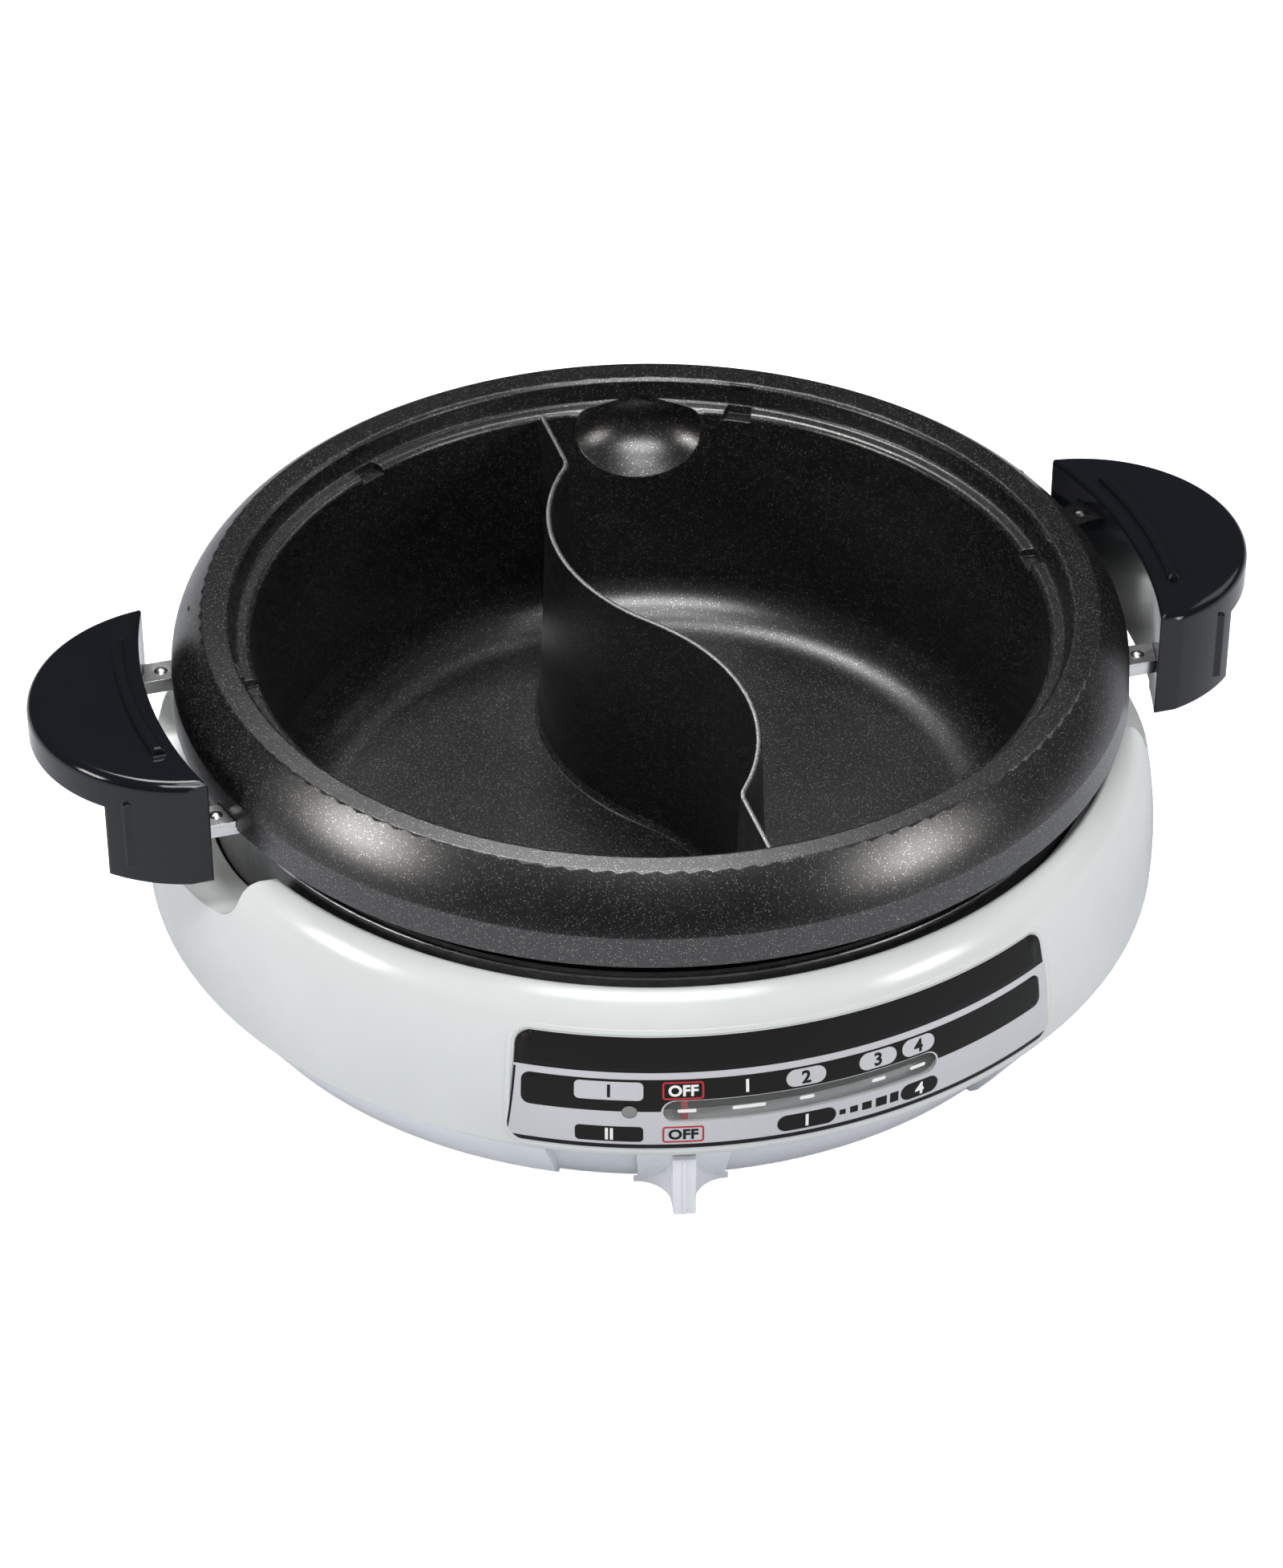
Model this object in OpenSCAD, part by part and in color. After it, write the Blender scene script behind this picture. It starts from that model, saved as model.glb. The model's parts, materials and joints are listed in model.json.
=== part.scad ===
// Electric hot pot with a divided, lift-off pan.
// Millimetres, +Z up, origin on the table under the centre of the base.
// +X runs through the right handle, and the control panel faces -Y.

/* [Pan] */
// Radius of the well just under its ledge
well_r = 151.4; // [140:0.1:165]
// Depth of the well, from the lip to the cooking floor
well_depth = 103; // [80:0.5:106]
// Thickness of the well wall
pan_wall = 4; // [3:0.1:5]
// Draft of the well wall, in degrees
well_draft = 4.5; // [2:0.1:6]
// Radius between the well wall and the cooking floor
floor_fillet = 24; // [12:0.5:30]
// Width of the ledge that carries a cover
ledge_w = 6.1; // [5:0.1:9]
// Depth of the ledge under the lip
ledge_drop = 10.2; // [8:0.1:14]
// Width of the flat lip
lip_w = 10.5; // [8:0.1:14]
// Overhang of the skirt beyond the lip
flange_w = 12.2; // [9:0.1:16]
// Height of the skirt, from the lip to its lower edge
skirt_h = 33.7; // [30:0.1:38]
// Width of the notches in the ledge
notch_w = 9.5; // [6:0.1:14]
// Radius of the ladle rests scooped into the wall
dish_r = 37; // [32:0.5:40]
// Direction of the first ladle rest, in degrees
dish_az = 75.2; // [70:0.1:80]

/* [Divider] */
// Thickness of the divider at its top edge
divider_t = 2.3; // [1.8:0.1:4]
// How far each bend of the divider leaves the straight line
divider_bulge = 20.5; // [12:0.5:26]
// Distance of each bend from the centre
divider_bend_y = 57.5; // [45:0.5:60]
// Radius where the bends turn into the straight ends
divider_kink_r = 10; // [9:0.5:16]
// Draft of each side of the divider, in degrees
divider_draft = 2; // [1:0.1:2.5]

/* [Base] */
// Height of the lip above the table
lip_z = 145; // [140:0.5:152]
// Height of the collar round the pan
collar_z = 99.9; // [98:0.1:103]
// Distance of the collar's inner edge inside the skirt
collar_inset = 5; // [3:0.1:6]
// How far the base reaches out beyond the collar's inner edge
base_flare = 17.7; // [16:0.1:22]
// Height of the seam between housing and bottom cover
seam_z = 36; // [34:0.1:38]
// Thickness of the housing's wall
shell_t = 2.6; // [2:0.1:3.2]
// How far the bottom cover's lower edge lies inside the widest circle
cover_inset = 21.5; // [18:0.5:26]
// Height of the rubber feet
foot_h = 4; // [3:0.1:5]
// Half the width of the saddle under each handle
saddle_half_w = 66; // [58:0.5:72]
// Height of the lowest point of each saddle
saddle_z = 70; // [66:0.5:76]

/* [Control panel] */
// Half the angle that the panel spans at its middle, in degrees
panel_half_az = 31.8; // [29:0.1:33]
// Thickness of the panel
panel_t = 1.2; // [0.8:0.1:1.5]
// Height of the panel's top edge
panel_top_z = 86.5; // [82:0.1:87]
// Height of the panel's lower edge above the seam
panel_rise = 2.9; // [1.5:0.1:4]
// Corner radius of the panel
panel_corner_r = 7; // [4:0.5:10]
// Half the angle of the pointer's window, in degrees
window_half_az = 15.35; // [14.9:0.05:17]
// Height of the pointer's window
window_h = 9.6; // [8:0.1:11]
// Height of the middle of the window above the table
window_z = 56; // [54:0.1:60]
// Radius of the indicator lamp
lamp_r = 2.7; // [2:0.1:3.5]
// Direction of the indicator lamp from the panel's middle, in degrees
lamp_az = -18.85; // [-20:0.05:-18.5]

/* [Control lever] */
// Travel of the lever from off to high, in degrees
lever_travel = 25.9; // [20:0.1:26.5]
// Width of the lever's tab
tab_w = 8.5; // [7:0.1:11]
// Angle that the lever's shield spans, in degrees
shield_az = 10.4; // [9:0.1:13]

/* [Handles] */
// Reach of each handle beyond its inner wall
handle_reach = 45.4; // [41:0.1:50]
// Width of the handle's outline
handle_w = 117; // [110:0.5:122]
// Gap between the skirt and the handle's inner wall
handle_gap = 10.8; // [9:0.1:13]
// Height of the handle's top above the table
handle_z = 138.5; // [136:0.1:142]
// Depth of the grip's rim
grip_rim_h = 14; // [11:0.1:18]
// Height of the handle's legs
leg_h = 44.5; // [42:0.5:47]
// Wall thickness of the handles
handle_t = 3.2; // [2.6:0.1:4]
// Width of the steel brackets
bracket_w = 12; // [10:0.1:14]
// Distance of the brackets from the middle line
bracket_y = 48; // [46:0.1:49]

/* [Heating] */
// Radius of the heating ring
heater_r = 92; // [80:0.5:105]
// Radius of the heating ring's sheath
sheath_r = 3.3; // [2.8:0.1:4]
// Clearance between the pan's bottom and what lies under it
rest_gap = 0.3; // [0.2:0.05:0.5]
// Travel of the sprung sensor cap
sensor_travel = 3; // [2:0.1:4]

/* [Hidden] */
$fn = 96;
tiny = 0.01;
air = 0.3;        // running gap between parts that move past each other
seat = 0.1;       // gap between parts that are fixed in one another

// Points on an arc, from angle a0 to a1, both ends included.
function arc(c, r, a0, a1, n = 6) =
    [for (i = [0:n]) let (a = a0 + (a1 - a0) * i / n) c + r * [cos(a), sin(a)]];
function polar(r, a) = r * [cos(a), sin(a)];
function mid(a, b, t) = a + (b - a) * t;

// ---- Pan ----------------------------------------------------------------
floor_z = lip_z - well_depth;
ledge_z = lip_z - ledge_drop;
ledge_round = 2.5;                      // roll of the ledge into the well
ledge_r = well_r + ledge_w;             // outer edge of the ledge
lip_in_r = ledge_r + 2.6;
lip_out_r = lip_in_r + lip_w;
skirt_r = lip_out_r + flange_w;
skirt_z = lip_z - skirt_h;
bottom_t = 6;                           // pan bottom over the heater
pan_bottom_z = floor_z - bottom_t;
fillet_c = [well_r - (ledge_z - floor_z - floor_fillet) * tan(well_draft)
            - floor_fillet / cos(well_draft), floor_z + floor_fillet];
flange_r = 24;                          // radius of the flange's shoulder
skirt_t = 3.6;
shoulder_c = [skirt_r - 0.7 - flange_r, skirt_z + 12.7];
lip_end = asin((lip_z - 0.6 - shoulder_c[1]) / flange_r);
heel_r = 118;                           // thick ring that meets the heater

// Well surface from the floor to the ledge, moved outwards by off.
function well_side(off) = concat(
    arc(fillet_c, floor_fillet + off, -90, -well_draft, 10),
    arc([well_r + ledge_round, ledge_z - ledge_round], ledge_round - off, 180, 130, 2));

pan_inside = concat(
    [[0, floor_z]],
    arc(fillet_c, floor_fillet, -90, -well_draft, 10),
    arc([well_r + ledge_round, ledge_z - ledge_round], ledge_round, 180, 90, 5),
    arc([ledge_r - 1.2, ledge_z + 1.7], 1.7, -90, -20, 4),
    [[lip_in_r - 0.8, lip_z - 2.2], [lip_in_r + 0.1, lip_z - 1.1], [lip_in_r + 1.2, lip_z - 0.8]]);
pan_outside = concat(
    [[lip_out_r - 1, lip_z]],
    arc(shoulder_c, flange_r, lip_end, 0, 10),
    [[skirt_r, skirt_z + 1], [skirt_r - 0.8, skirt_z], [skirt_r - skirt_t + 0.8, skirt_z],
     [skirt_r - skirt_t, skirt_z + 0.8]],
    arc(shoulder_c, flange_r - skirt_t + 0.7, 0, lip_end - 4, 7),
    [[lip_in_r + pan_wall, lip_z - 5], [lip_in_r + pan_wall - 0.5, ledge_z - 7],
     [well_r + pan_wall, ledge_z - 13]],
    arc(fillet_c, floor_fillet + pan_wall, -well_draft, -90, 10),
    [[heel_r + 2, floor_z - pan_wall], [heel_r, pan_bottom_z], [0, pan_bottom_z]]);

// One radial notch, a tapered pocket sunk into the ledge.
module ledge_notch()
    translate([0, 0, ledge_z - 3.3])
        linear_extrude(6)
            polygon([[well_r - 3, -notch_w / 2 - 1.5], [ledge_r - 0.3, -notch_w / 2],
                     [ledge_r - 0.3, notch_w / 2], [well_r - 3, notch_w / 2 + 1.5]]);

// Small tab on the lip's inner edge over each notch.
module lip_tab()
    translate([0, 0, lip_z - 4.2])
        linear_extrude(3)
            polygon([[lip_in_r + 1, -notch_w / 2 - 1], [lip_in_r - 1.5, -notch_w / 2 + 0.5],
                     [lip_in_r - 1.5, notch_w / 2 - 0.5], [lip_in_r + 1, notch_w / 2 + 1]]);

dish_c = [well_r + 7.6 - dish_r, ledge_z - 5.8];
module at_dish(k)
    rotate(dish_az + 180 * k) translate([dish_c[0], 0, dish_c[1]]) children();

// The wall swells outwards behind each ladle rest.
module dish_backing()
    intersection() {
        for (k = [0, 1]) at_dish(k) sphere(dish_r + pan_wall - 0.4);
        rotate_extrude()
            polygon([[well_r + 0.6, ledge_z - 45], [well_r + 24, ledge_z - 45],
                     [well_r + 24, ledge_z + 2.3], [lip_in_r + 1.5, ledge_z + 2.3],
                     [ledge_r + 1.4, ledge_z - 1.4], [well_r + 2, ledge_z - 3.1]]);
    }

// Divider: a wall of constant section that follows a line and two arcs.
divider_top = ledge_z;
divider_h = divider_top - floor_z;
bend_cx = (pow(divider_bend_y, 2) / divider_bulge - divider_bulge) / 2;
bend_r = bend_cx + divider_bulge;
kink_y = divider_bend_y + sqrt(pow(bend_r + divider_kink_r, 2) - pow(bend_cx + divider_kink_r, 2));
bend_a0 = atan2(kink_y - divider_bend_y, -bend_cx - divider_kink_r);
bend_a1 = 180 + atan2(divider_bend_y, bend_cx);
divider_root = 4;                       // fillet along the divider's foot
divider_foot_w = divider_t / 2 + divider_h * tan(divider_draft);
root_arc = arc([divider_foot_w + divider_root, floor_z + divider_root - 0.4],
               divider_root, 180, 255, 5);
half_section = concat(
    [[divider_t / 2 - 0.8, divider_top], [divider_t / 2 - 0.2, divider_top - 0.3],
     [divider_t / 2, divider_top - 1]],
    root_arc);

module divider_section()
    polygon(concat(half_section,
                   [[root_arc[5][0], floor_z - 2], [-root_arc[5][0], floor_z - 2]],
                   [for (i = [len(half_section) - 1:-1:0]) [-half_section[i][0], half_section[i][1]]]));

module divider_half() {
    translate([bend_cx, divider_bend_y])
        rotate(bend_a0)
            rotate_extrude(angle = bend_a1 - bend_a0)
                translate([bend_r, 0]) divider_section();
    translate([-divider_kink_r, kink_y])
        rotate(bend_a0 - 180)
            rotate_extrude(angle = 180 - bend_a0)
                translate([divider_kink_r, 0]) divider_section();
    translate([0, well_r + pan_wall, 0])
        rotate([90, 0, 0])
            linear_extrude(well_r + pan_wall - kink_y) divider_section();
}

module divider()
    intersection() {
        union() {
            divider_half();
            rotate(180) divider_half();
        }
        rotate_extrude()
            polygon(concat([[0, floor_z - 1.5]], well_side(1.5),
                           [[ledge_r - 0.6, divider_top - 0.4],
                            [ledge_r - 0.6, divider_top + 1], [0, divider_top + 1]]));
    }

// Bosses under the flange that the handle brackets are screwed to.
bracket_z = skirt_z + 4.2;              // top of the brackets
boss_x = sqrt(pow(lip_in_r + 10.8, 2) - pow(bracket_y, 2));
boss_r = 4.5;
module at_brackets()
    for (sx = [0, 1]) for (sy = [0, 1])
        mirror([sx, 0, 0]) mirror([0, sy, 0]) translate([0, bracket_y, 0]) children();

module pan() color([0.2, 0.2, 0.21])
    difference() {
        union() {
            // The ladle rests are scooped before the divider goes in, so it stays whole.
            difference() {
                union() {
                    rotate_extrude() polygon(concat(pan_inside, pan_outside));
                    dish_backing();
                }
                for (k = [0, 1]) at_dish(k) sphere(dish_r);
            }
            divider();
            for (k = [0:5]) rotate(60 * k) lip_tab();
            at_brackets()
                translate([boss_x, 0, bracket_z]) cylinder(r = boss_r, h = lip_z - 4 - bracket_z);
        }
        for (k = [0:5]) rotate(60 * k) ledge_notch();
        // gates in the skirt for the brackets, and their screw holes
        at_brackets() {
            translate([skirt_r - 24, -bracket_w / 2 - 1, skirt_z - 1])
                cube([30, bracket_w + 2, 6]);
            translate([boss_x, 0, bracket_z - 1]) cylinder(r = 1.7, h = 13);
        }
    }

// ---- Handles ------------------------------------------------------------
handle_in_r = skirt_r + handle_gap;
tip_x = handle_in_r + handle_reach;
// The outer edge is one arc through the tip and both inner corners.
corner_x = sqrt(pow(handle_in_r, 2) - pow(handle_w / 2, 2)) + 3.5;
grip_r = (pow(tip_x - corner_x, 2) + pow(handle_w / 2 + 1, 2)) / (2 * (tip_x - corner_x));
grip_cx = tip_x - grip_r;
leg_z = handle_z - leg_h;
leg_in_y = handle_w / 2 - 15;           // inner face of the legs
grip_round = 4;

module grip_form(off, z0, z1, round)
    translate([grip_cx, 0, 0]) rotate_extrude()
        polygon(concat([[0, z0], [grip_r - off, z0]],
                       arc([grip_r - off - round, z1 - round], round, 0, 90, 5),
                       [[0, z1]]));
module inner_form(off, z0, z1, round)
    rotate_extrude()
        polygon(concat([[0, z0], [handle_in_r + off, z0]],
                       arc([handle_in_r + off + round, z1 - round], round, 180, 90, 5),
                       [[handle_in_r + off + round, z1 + 2], [0, z1 + 2]]));
module slab(half_y, z0, z1)
    translate([handle_in_r - 20, -half_y, z0]) cube([80, 2 * half_y, z1 - z0]);

rib_w = 4.6;
rib_in_r = handle_in_r + 5.6;
rib_half_az = 10.8;
rib_half_y = (rib_in_r + rib_w / 2) * sin(rib_half_az);
rib_low_z = handle_z - 1.5;
// Raised rib that follows the inner edge, its ends cut at a slant.
module grip_rib()
    intersection() {
        rotate(-rib_half_az - 2) rotate_extrude(angle = 2 * rib_half_az + 4)
            polygon([[rib_in_r, rib_low_z], [rib_in_r, handle_z + 1.8],
                     [rib_in_r + 1.2, handle_z + 3], [rib_in_r + rib_w - 1.2, handle_z + 3],
                     [rib_in_r + rib_w, handle_z + 1.8], [rib_in_r + rib_w, rib_low_z]]);
        translate([rib_in_r - 30, 0, 0]) rotate([90, 0, 90]) linear_extrude(60)
            polygon([[-rib_half_y, rib_low_z - 1], [rib_half_y, rib_low_z - 1],
                     [rib_half_y - 0.5, handle_z + 1.8], [rib_half_y - 2, handle_z + 4],
                     [2 - rib_half_y, handle_z + 4], [0.5 - rib_half_y, handle_z + 1.8]]);
    }

strap_z = bracket_z - 3.5;              // top of the strap inside each leg
screw_x = handle_in_r + 7.5;            // handle screw, inside the leg
leg_y = (handle_w / 2 + leg_in_y) / 2;  // middle of a leg
leg_bore_w = handle_w / 2 - leg_in_y - 2 * handle_t;
fin_x = grip_cx + sqrt(pow(grip_r, 2) - pow(leg_in_y + 6, 2));

module handle_shape() {
    difference() {
        // grip, legs and the wall between the legs share one outline
        intersection() {
            grip_form(0, leg_z, handle_z, grip_round);
            slab(handle_w / 2, leg_z, handle_z + 1);
        }
        inner_form(0, leg_z - 1, handle_z, 2.5);
        // room for the fingers under the grip
        difference() {
            slab(leg_in_y, leg_z - 1, handle_z - grip_rim_h);
            inner_form(handle_t, leg_z - 2, handle_z + 40, 1);
        }
        difference() {
            intersection() {
                grip_form(handle_t, leg_z - 1.5, handle_z - 4, 2);
                slab(leg_in_y - 0.6, leg_z - 1.5, handle_z - 4.5);
            }
            inner_form(handle_t + 0.4, leg_z - 2, handle_z + 40, 1);
        }
        // legs are hollow, open below
        for (s = [-1, 1]) intersection() {
            difference() {
                grip_form(handle_t + 0.2, leg_z - 2, handle_z - 6, 2);
                inner_form(handle_t + 0.2, leg_z - 3, handle_z + 40, 1);
            }
            translate([handle_in_r - 20, s * leg_y - leg_bore_w / 2, leg_z - 3])
                cube([80, leg_bore_w, leg_h - 3]);
        }
        // the wall between the legs ends a little higher than the legs
        translate([handle_in_r - 20, -leg_in_y + 2, leg_z - 2.5])
            cube([50, 2 * leg_in_y - 4, 5]);
        // slots where the straps enter the legs
        for (s = [0, 1]) mirror([0, s, 0])
            translate([riser_x, bracket_y - strap_w / 2 + strap_step - seat, strap_z - strap_t - seat])
                cube([strap_end_x + seat - riser_x, strap_w - strap_step + 2 * seat,
                      strap_t + 2 * seat]);
    }
    grip_rib();
    // upright fin on the outside of each leg
    for (s = [-1, 1])
        translate([fin_x - 1.5, s * (leg_in_y + 6) - 1, leg_z + 6]) cube([3, 2, leg_h - 16]);
    // screw posts down to the straps
    for (s = [-1, 1]) translate([screw_x, s * bracket_y, strap_z + seat]) difference() {
        cylinder(r = 3.9, h = handle_z - 5 - strap_z);
        translate([0, 0, -1]) cylinder(r = 1.5, h = 13);
    }
}

module handle_left() color([0.06, 0.06, 0.07]) mirror([1, 0, 0]) handle_shape();
module handle_right() color([0.06, 0.06, 0.07]) handle_shape();

bracket_t = 1.2;
bracket_start_x = boss_x - boss_r - 2;
strap_t = 1.5;
strap_w = bracket_w - 2 * bracket_t - 0.6;
strap_step = 1.5;                       // straps are this much narrower in the legs
strap_end_x = screw_x + 3.5;
leg_face_x = sqrt(pow(handle_in_r, 2) - pow(bracket_y, 2));
riser_x = sqrt(pow(handle_in_r, 2) - pow(bracket_y + strap_w / 2, 2)) - air - strap_t;
rivet_x = (sqrt(pow(skirt_r, 2) - pow(bracket_y, 2)) + leg_face_x) / 2 - 1.5;
rivet_r = 1.6;

bracket_l = leg_face_x + 3 - bracket_start_x;
// Channels whose outer ends follow the handles' inner walls.
module handle_brackets() color([0.75, 0.75, 0.76])
    at_brackets() difference() {
        intersection() {
            translate([bracket_start_x, -bracket_w / 2, bracket_z - seat - 5.6])
                cube([bracket_l, bracket_w, 5.6]);
            translate([0, -bracket_y, bracket_z - 10]) cylinder(r = handle_in_r - seat, h = 12);
        }
        translate([bracket_start_x - 1, -bracket_w / 2 + bracket_t, bracket_z - seat - 7])
            cube([bracket_l + 2, bracket_w - 2 * bracket_t, 7 - bracket_t]);
        translate([boss_x, 0, bracket_z - 4]) cylinder(r = 2, h = 5);
        translate([rivet_x, 0, bracket_z - 4]) cylinder(r = rivet_r, h = 5);
    }

strap_top = bracket_z - seat - bracket_t - seat;
module handle_straps() color([0.7, 0.7, 0.71])
    at_brackets() difference() {
        union() {
            translate([rivet_x - 5, -strap_w / 2, strap_top - strap_t])
                cube([riser_x + strap_t - rivet_x + 5, strap_w, strap_t]);
            translate([riser_x, -strap_w / 2, strap_z - strap_t])
                cube([strap_t, strap_w, strap_top - strap_z + strap_t]);
            translate([riser_x, strap_step - strap_w / 2, strap_z - strap_t])
                cube([strap_end_x - riser_x, strap_w - strap_step, strap_t]);
        }
        translate([rivet_x, 0, strap_top - 4]) cylinder(r = rivet_r, h = 6);
        translate([screw_x, 0, strap_z - 4]) cylinder(r = 2, h = 6);
    }

module bracket_rivets() color([0.8, 0.8, 0.81])
    at_brackets() {
        translate([rivet_x, 0, bracket_z - seat - 4.6]) cylinder(r = rivet_r, h = 5);
        translate([rivet_x, 0, bracket_z - seat]) intersection() {
            translate([0, 0, -2.6]) sphere(3.7);
            cylinder(r = 4, h = 2);
        }
        translate([rivet_x, 0, strap_top - strap_t - 1.2]) cylinder(r = 2.6, h = 1.2);
    }

module pan_head_screw(len, shank, head)
    union() {
        cylinder(r = shank, h = len);
        difference() {
            translate([0, 0, -head * 0.7]) cylinder(r = head, h = head * 0.7);
            for (a = [0, 90]) rotate(a)
                translate([-head * 0.6, -0.4, -head * 0.7 - 1]) cube([head * 1.2, 0.8, 1.8]);
        }
    }

handle_screw_l = 11;
module handle_screws() color([0.6, 0.6, 0.6])
    at_brackets() {
        translate([screw_x, 0, strap_z - strap_t]) pan_head_screw(handle_screw_l, 1.5, 3);
        translate([boss_x, 0, bracket_z - seat - bracket_t]) pan_head_screw(handle_screw_l, 1.7, 3.2);
    }

// ---- Base housing ---------------------------------------------------------
collar_r = skirt_r - collar_inset;
base_r = collar_r + base_flare;
cover_foot_r = base_r - cover_inset;    // bottom cover at its lower edge
side_r = 150;                           // large radius of the housing's side
shoulder_r = 22;
crest_r = 1.6;
shoulder_a0 = 18;
shoulder_a1 = 58;
crest_c = [collar_r + crest_r, collar_z - crest_r];
shoulder_top = crest_c + polar(crest_r, shoulder_a1);
roll_c = shoulder_top - polar(shoulder_r, shoulder_a1);
side_top = roll_c + polar(shoulder_r, shoulder_a0);
side_chord = side_top - [base_r, seam_z];
side_half = norm(side_chord) / 2;
side_mid = [base_r, seam_z] + side_chord / 2;
side_n = [side_chord[1], -side_chord[0]] / norm(side_chord);
side_c = side_mid - side_n * sqrt(side_r * side_r - side_half * side_half);
function angle_to(c, p) = atan2(p[1] - c[1], p[0] - c[0]);
// Radius of the housing's side at a height, moved inwards by off.
function side_at(z, off = 0) =
    side_c[0] + sqrt(pow(side_r - off, 2) - pow(z - side_c[1], 2));
function side_pts(off, z0, z1, n) = [for (i = [0:n]) let (z = mid(z0, z1, i / n)) [side_at(z, off), z]];
function housing_skin(off) = concat(
    side_pts(off, seam_z, side_top[1], 8),
    arc(roll_c, shoulder_r - off, shoulder_a0 + 6, shoulder_a1, 5));

guard_r = collar_r - 6;                 // heat guard's outer radius
inner_wall_r = guard_r + air + 0.8;     // housing's inner wall round the guard
inner_wall_z = 60;
ring_z = collar_z - 9;                  // underside level of the collar's return

module housing_outer()
    rotate_extrude()
        polygon(concat([[inner_wall_r, seam_z], [base_r - 8, seam_z]],
                       housing_skin(0),
                       arc(crest_c, crest_r, shoulder_a1 + 20, 180, 5),
                       [[collar_r, ring_z], [inner_wall_r, ring_z]]));
inner_skin = housing_skin(shell_t);
module housing_cavity()
    rotate_extrude()
        polygon(concat([[inner_wall_r - 5, seam_z - 1], [inner_wall_r - 5, inner_wall_z],
                        [inner_wall_r + shell_t, inner_wall_z],
                        [inner_wall_r + shell_t, ring_z - shell_t],
                        [collar_r + shell_t, ring_z - shell_t],
                        [collar_r + shell_t, collar_z - 7]],
                       [for (i = [len(inner_skin) - 2:-1:0]) inner_skin[i]],
                       [[side_at(seam_z, shell_t), seam_z - 1]]));

// Saddle under each handle: a shallow bowl that ends in upright round corners.
saddle_bowl_r = 220;
saddle_foot_r = 12;
saddle_top_r = 8;
saddle_c = [0, saddle_z + saddle_bowl_r];
saddle_foot_c = [saddle_half_w - saddle_foot_r,
                 saddle_c[1] - sqrt(pow(saddle_bowl_r - saddle_foot_r, 2)
                                    - pow(saddle_half_w - saddle_foot_r, 2))];
saddle_a = angle_to(saddle_c, saddle_foot_c);
saddle_top_c = [saddle_half_w + saddle_top_r, collar_z - saddle_top_r];
// Half of the saddle's outline, moved into the material by grow.
function saddle_half(grow) = concat(
    arc(saddle_c, saddle_bowl_r + grow, -90, saddle_a, 9),
    arc(saddle_foot_c, saddle_foot_r + grow, saddle_a + 12, 0, 5),
    arc(saddle_top_c, saddle_top_r - grow, 180, 90, 4),
    [[saddle_top_c[0], collar_z + 8]]);
module saddles(grow) {
    half = saddle_half(grow);
    for (s = [0, 1]) mirror([s, 0, 0])
        translate([inner_wall_r - 40, 0, 0]) rotate([90, 0, 90]) linear_extrude(90)
            polygon(concat(half, [for (i = [len(half) - 1:-1:1]) [-half[i][0], half[i][1]]]));
}

panel_az = -90;
panel_bottom_z = seam_z + panel_rise;
panel_bottom_x = side_at(panel_bottom_z) * sin(panel_half_az + 0.5);
panel_top_x = side_at(panel_top_z) * sin(panel_half_az - 0.5);
panel_lean = atan((panel_bottom_x - panel_top_x) / (panel_top_z - panel_bottom_z));
panel_top_c = [panel_top_x - panel_corner_r * (1 / cos(panel_lean) - tan(panel_lean)),
               panel_top_z - panel_corner_r];
panel_low_c = [panel_bottom_x - panel_corner_r * (1 / cos(panel_lean) + tan(panel_lean)),
               panel_bottom_z + panel_corner_r];
// Rounded trapezoid seen from the front, grown by g.
module panel_outline(g) {
    half = concat(arc(panel_low_c, panel_corner_r + g, -90, panel_lean, 6),
                  arc(panel_top_c, panel_corner_r + g, panel_lean, 90, 6));
    polygon(concat(half, [for (i = [len(half) - 1:-1:0]) [-half[i][0], half[i][1]]]));
}
module panel_prism(g)
    translate([0, -base_r + 70, 0]) rotate([90, 0, 0]) linear_extrude(90) panel_outline(g);
module side_band(off0, off1, z0, z1, half_az = 45)
    rotate(panel_az - half_az) rotate_extrude(angle = 2 * half_az)
        polygon(concat(side_pts(off0, z0, z1, 8), [for (i = [8:-1:0]) side_pts(off1, z0, z1, 8)[i]]));

// Window through the side, with round ends, grown by g.
window_x = side_at(window_z) * sin(window_half_az) - window_h / 2;
module window_prism(g) {
    half = arc([window_x, window_z], window_h / 2 + g, -90, 90, 8);
    translate([0, -base_r + 30, 0]) rotate([90, 0, 0]) linear_extrude(40)
        polygon(concat(half, [for (i = [8:-1:0]) [-half[i][0], half[i][1]]]));
}
module at_lamp()
    rotate(panel_az + lamp_az) translate([side_at(window_z), 0, window_z]) rotate([0, 90, 0]) children();

boss_az = [40, 140, 220, 320];
cover_boss_r = 4;
cover_boss_pos = cover_foot_r - 10;
boss_low_z = seam_z + 6;
boss_h = 9.5;
inlet_w = 42;
inlet_h = 24;
inlet_z = 60;
inlet_back_y = inner_wall_r + shell_t + 0.8;
inlet_face_y = side_at(inlet_z + inlet_h / 2) - 3;

module base_housing() color([0.86, 0.88, 0.86])
    difference() {
        union() {
            difference() {
                housing_outer();
                saddles(0);
                difference() {
                    housing_cavity();
                    saddles(shell_t);
                }
            }
            // bosses for the screws of the bottom cover, each on a web
            for (a = boss_az) rotate(a) {
                translate([cover_boss_pos, 0, boss_low_z]) cylinder(r = cover_boss_r, h = boss_h);
                translate([cover_boss_pos, -1.2, boss_low_z])
                    cube([side_at(boss_low_z + boss_h, shell_t) - cover_boss_pos + 0.8, 2.4, boss_h]);
            }
        }
        // seat for the panel
        intersection() {
            side_band(-3, panel_t + seat, seam_z - 1, panel_top_z + 1);
            panel_prism(seat);
        }
        window_prism(0.8);
        at_lamp() translate([0, 0, -12]) cylinder(r = lamp_r + 0.8, h = 15);
        for (a = boss_az) rotate(a)
            translate([cover_boss_pos, 0, boss_low_z - 1]) cylinder(r = 1.5, h = boss_h - 1);
        // opening for the power inlet
        translate([-inlet_w / 2 - seat, inlet_back_y - seat, inlet_z - inlet_h / 2 - seat])
            cube([inlet_w + 2 * seat, 40, inlet_h + 2 * seat]);
    }

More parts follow.
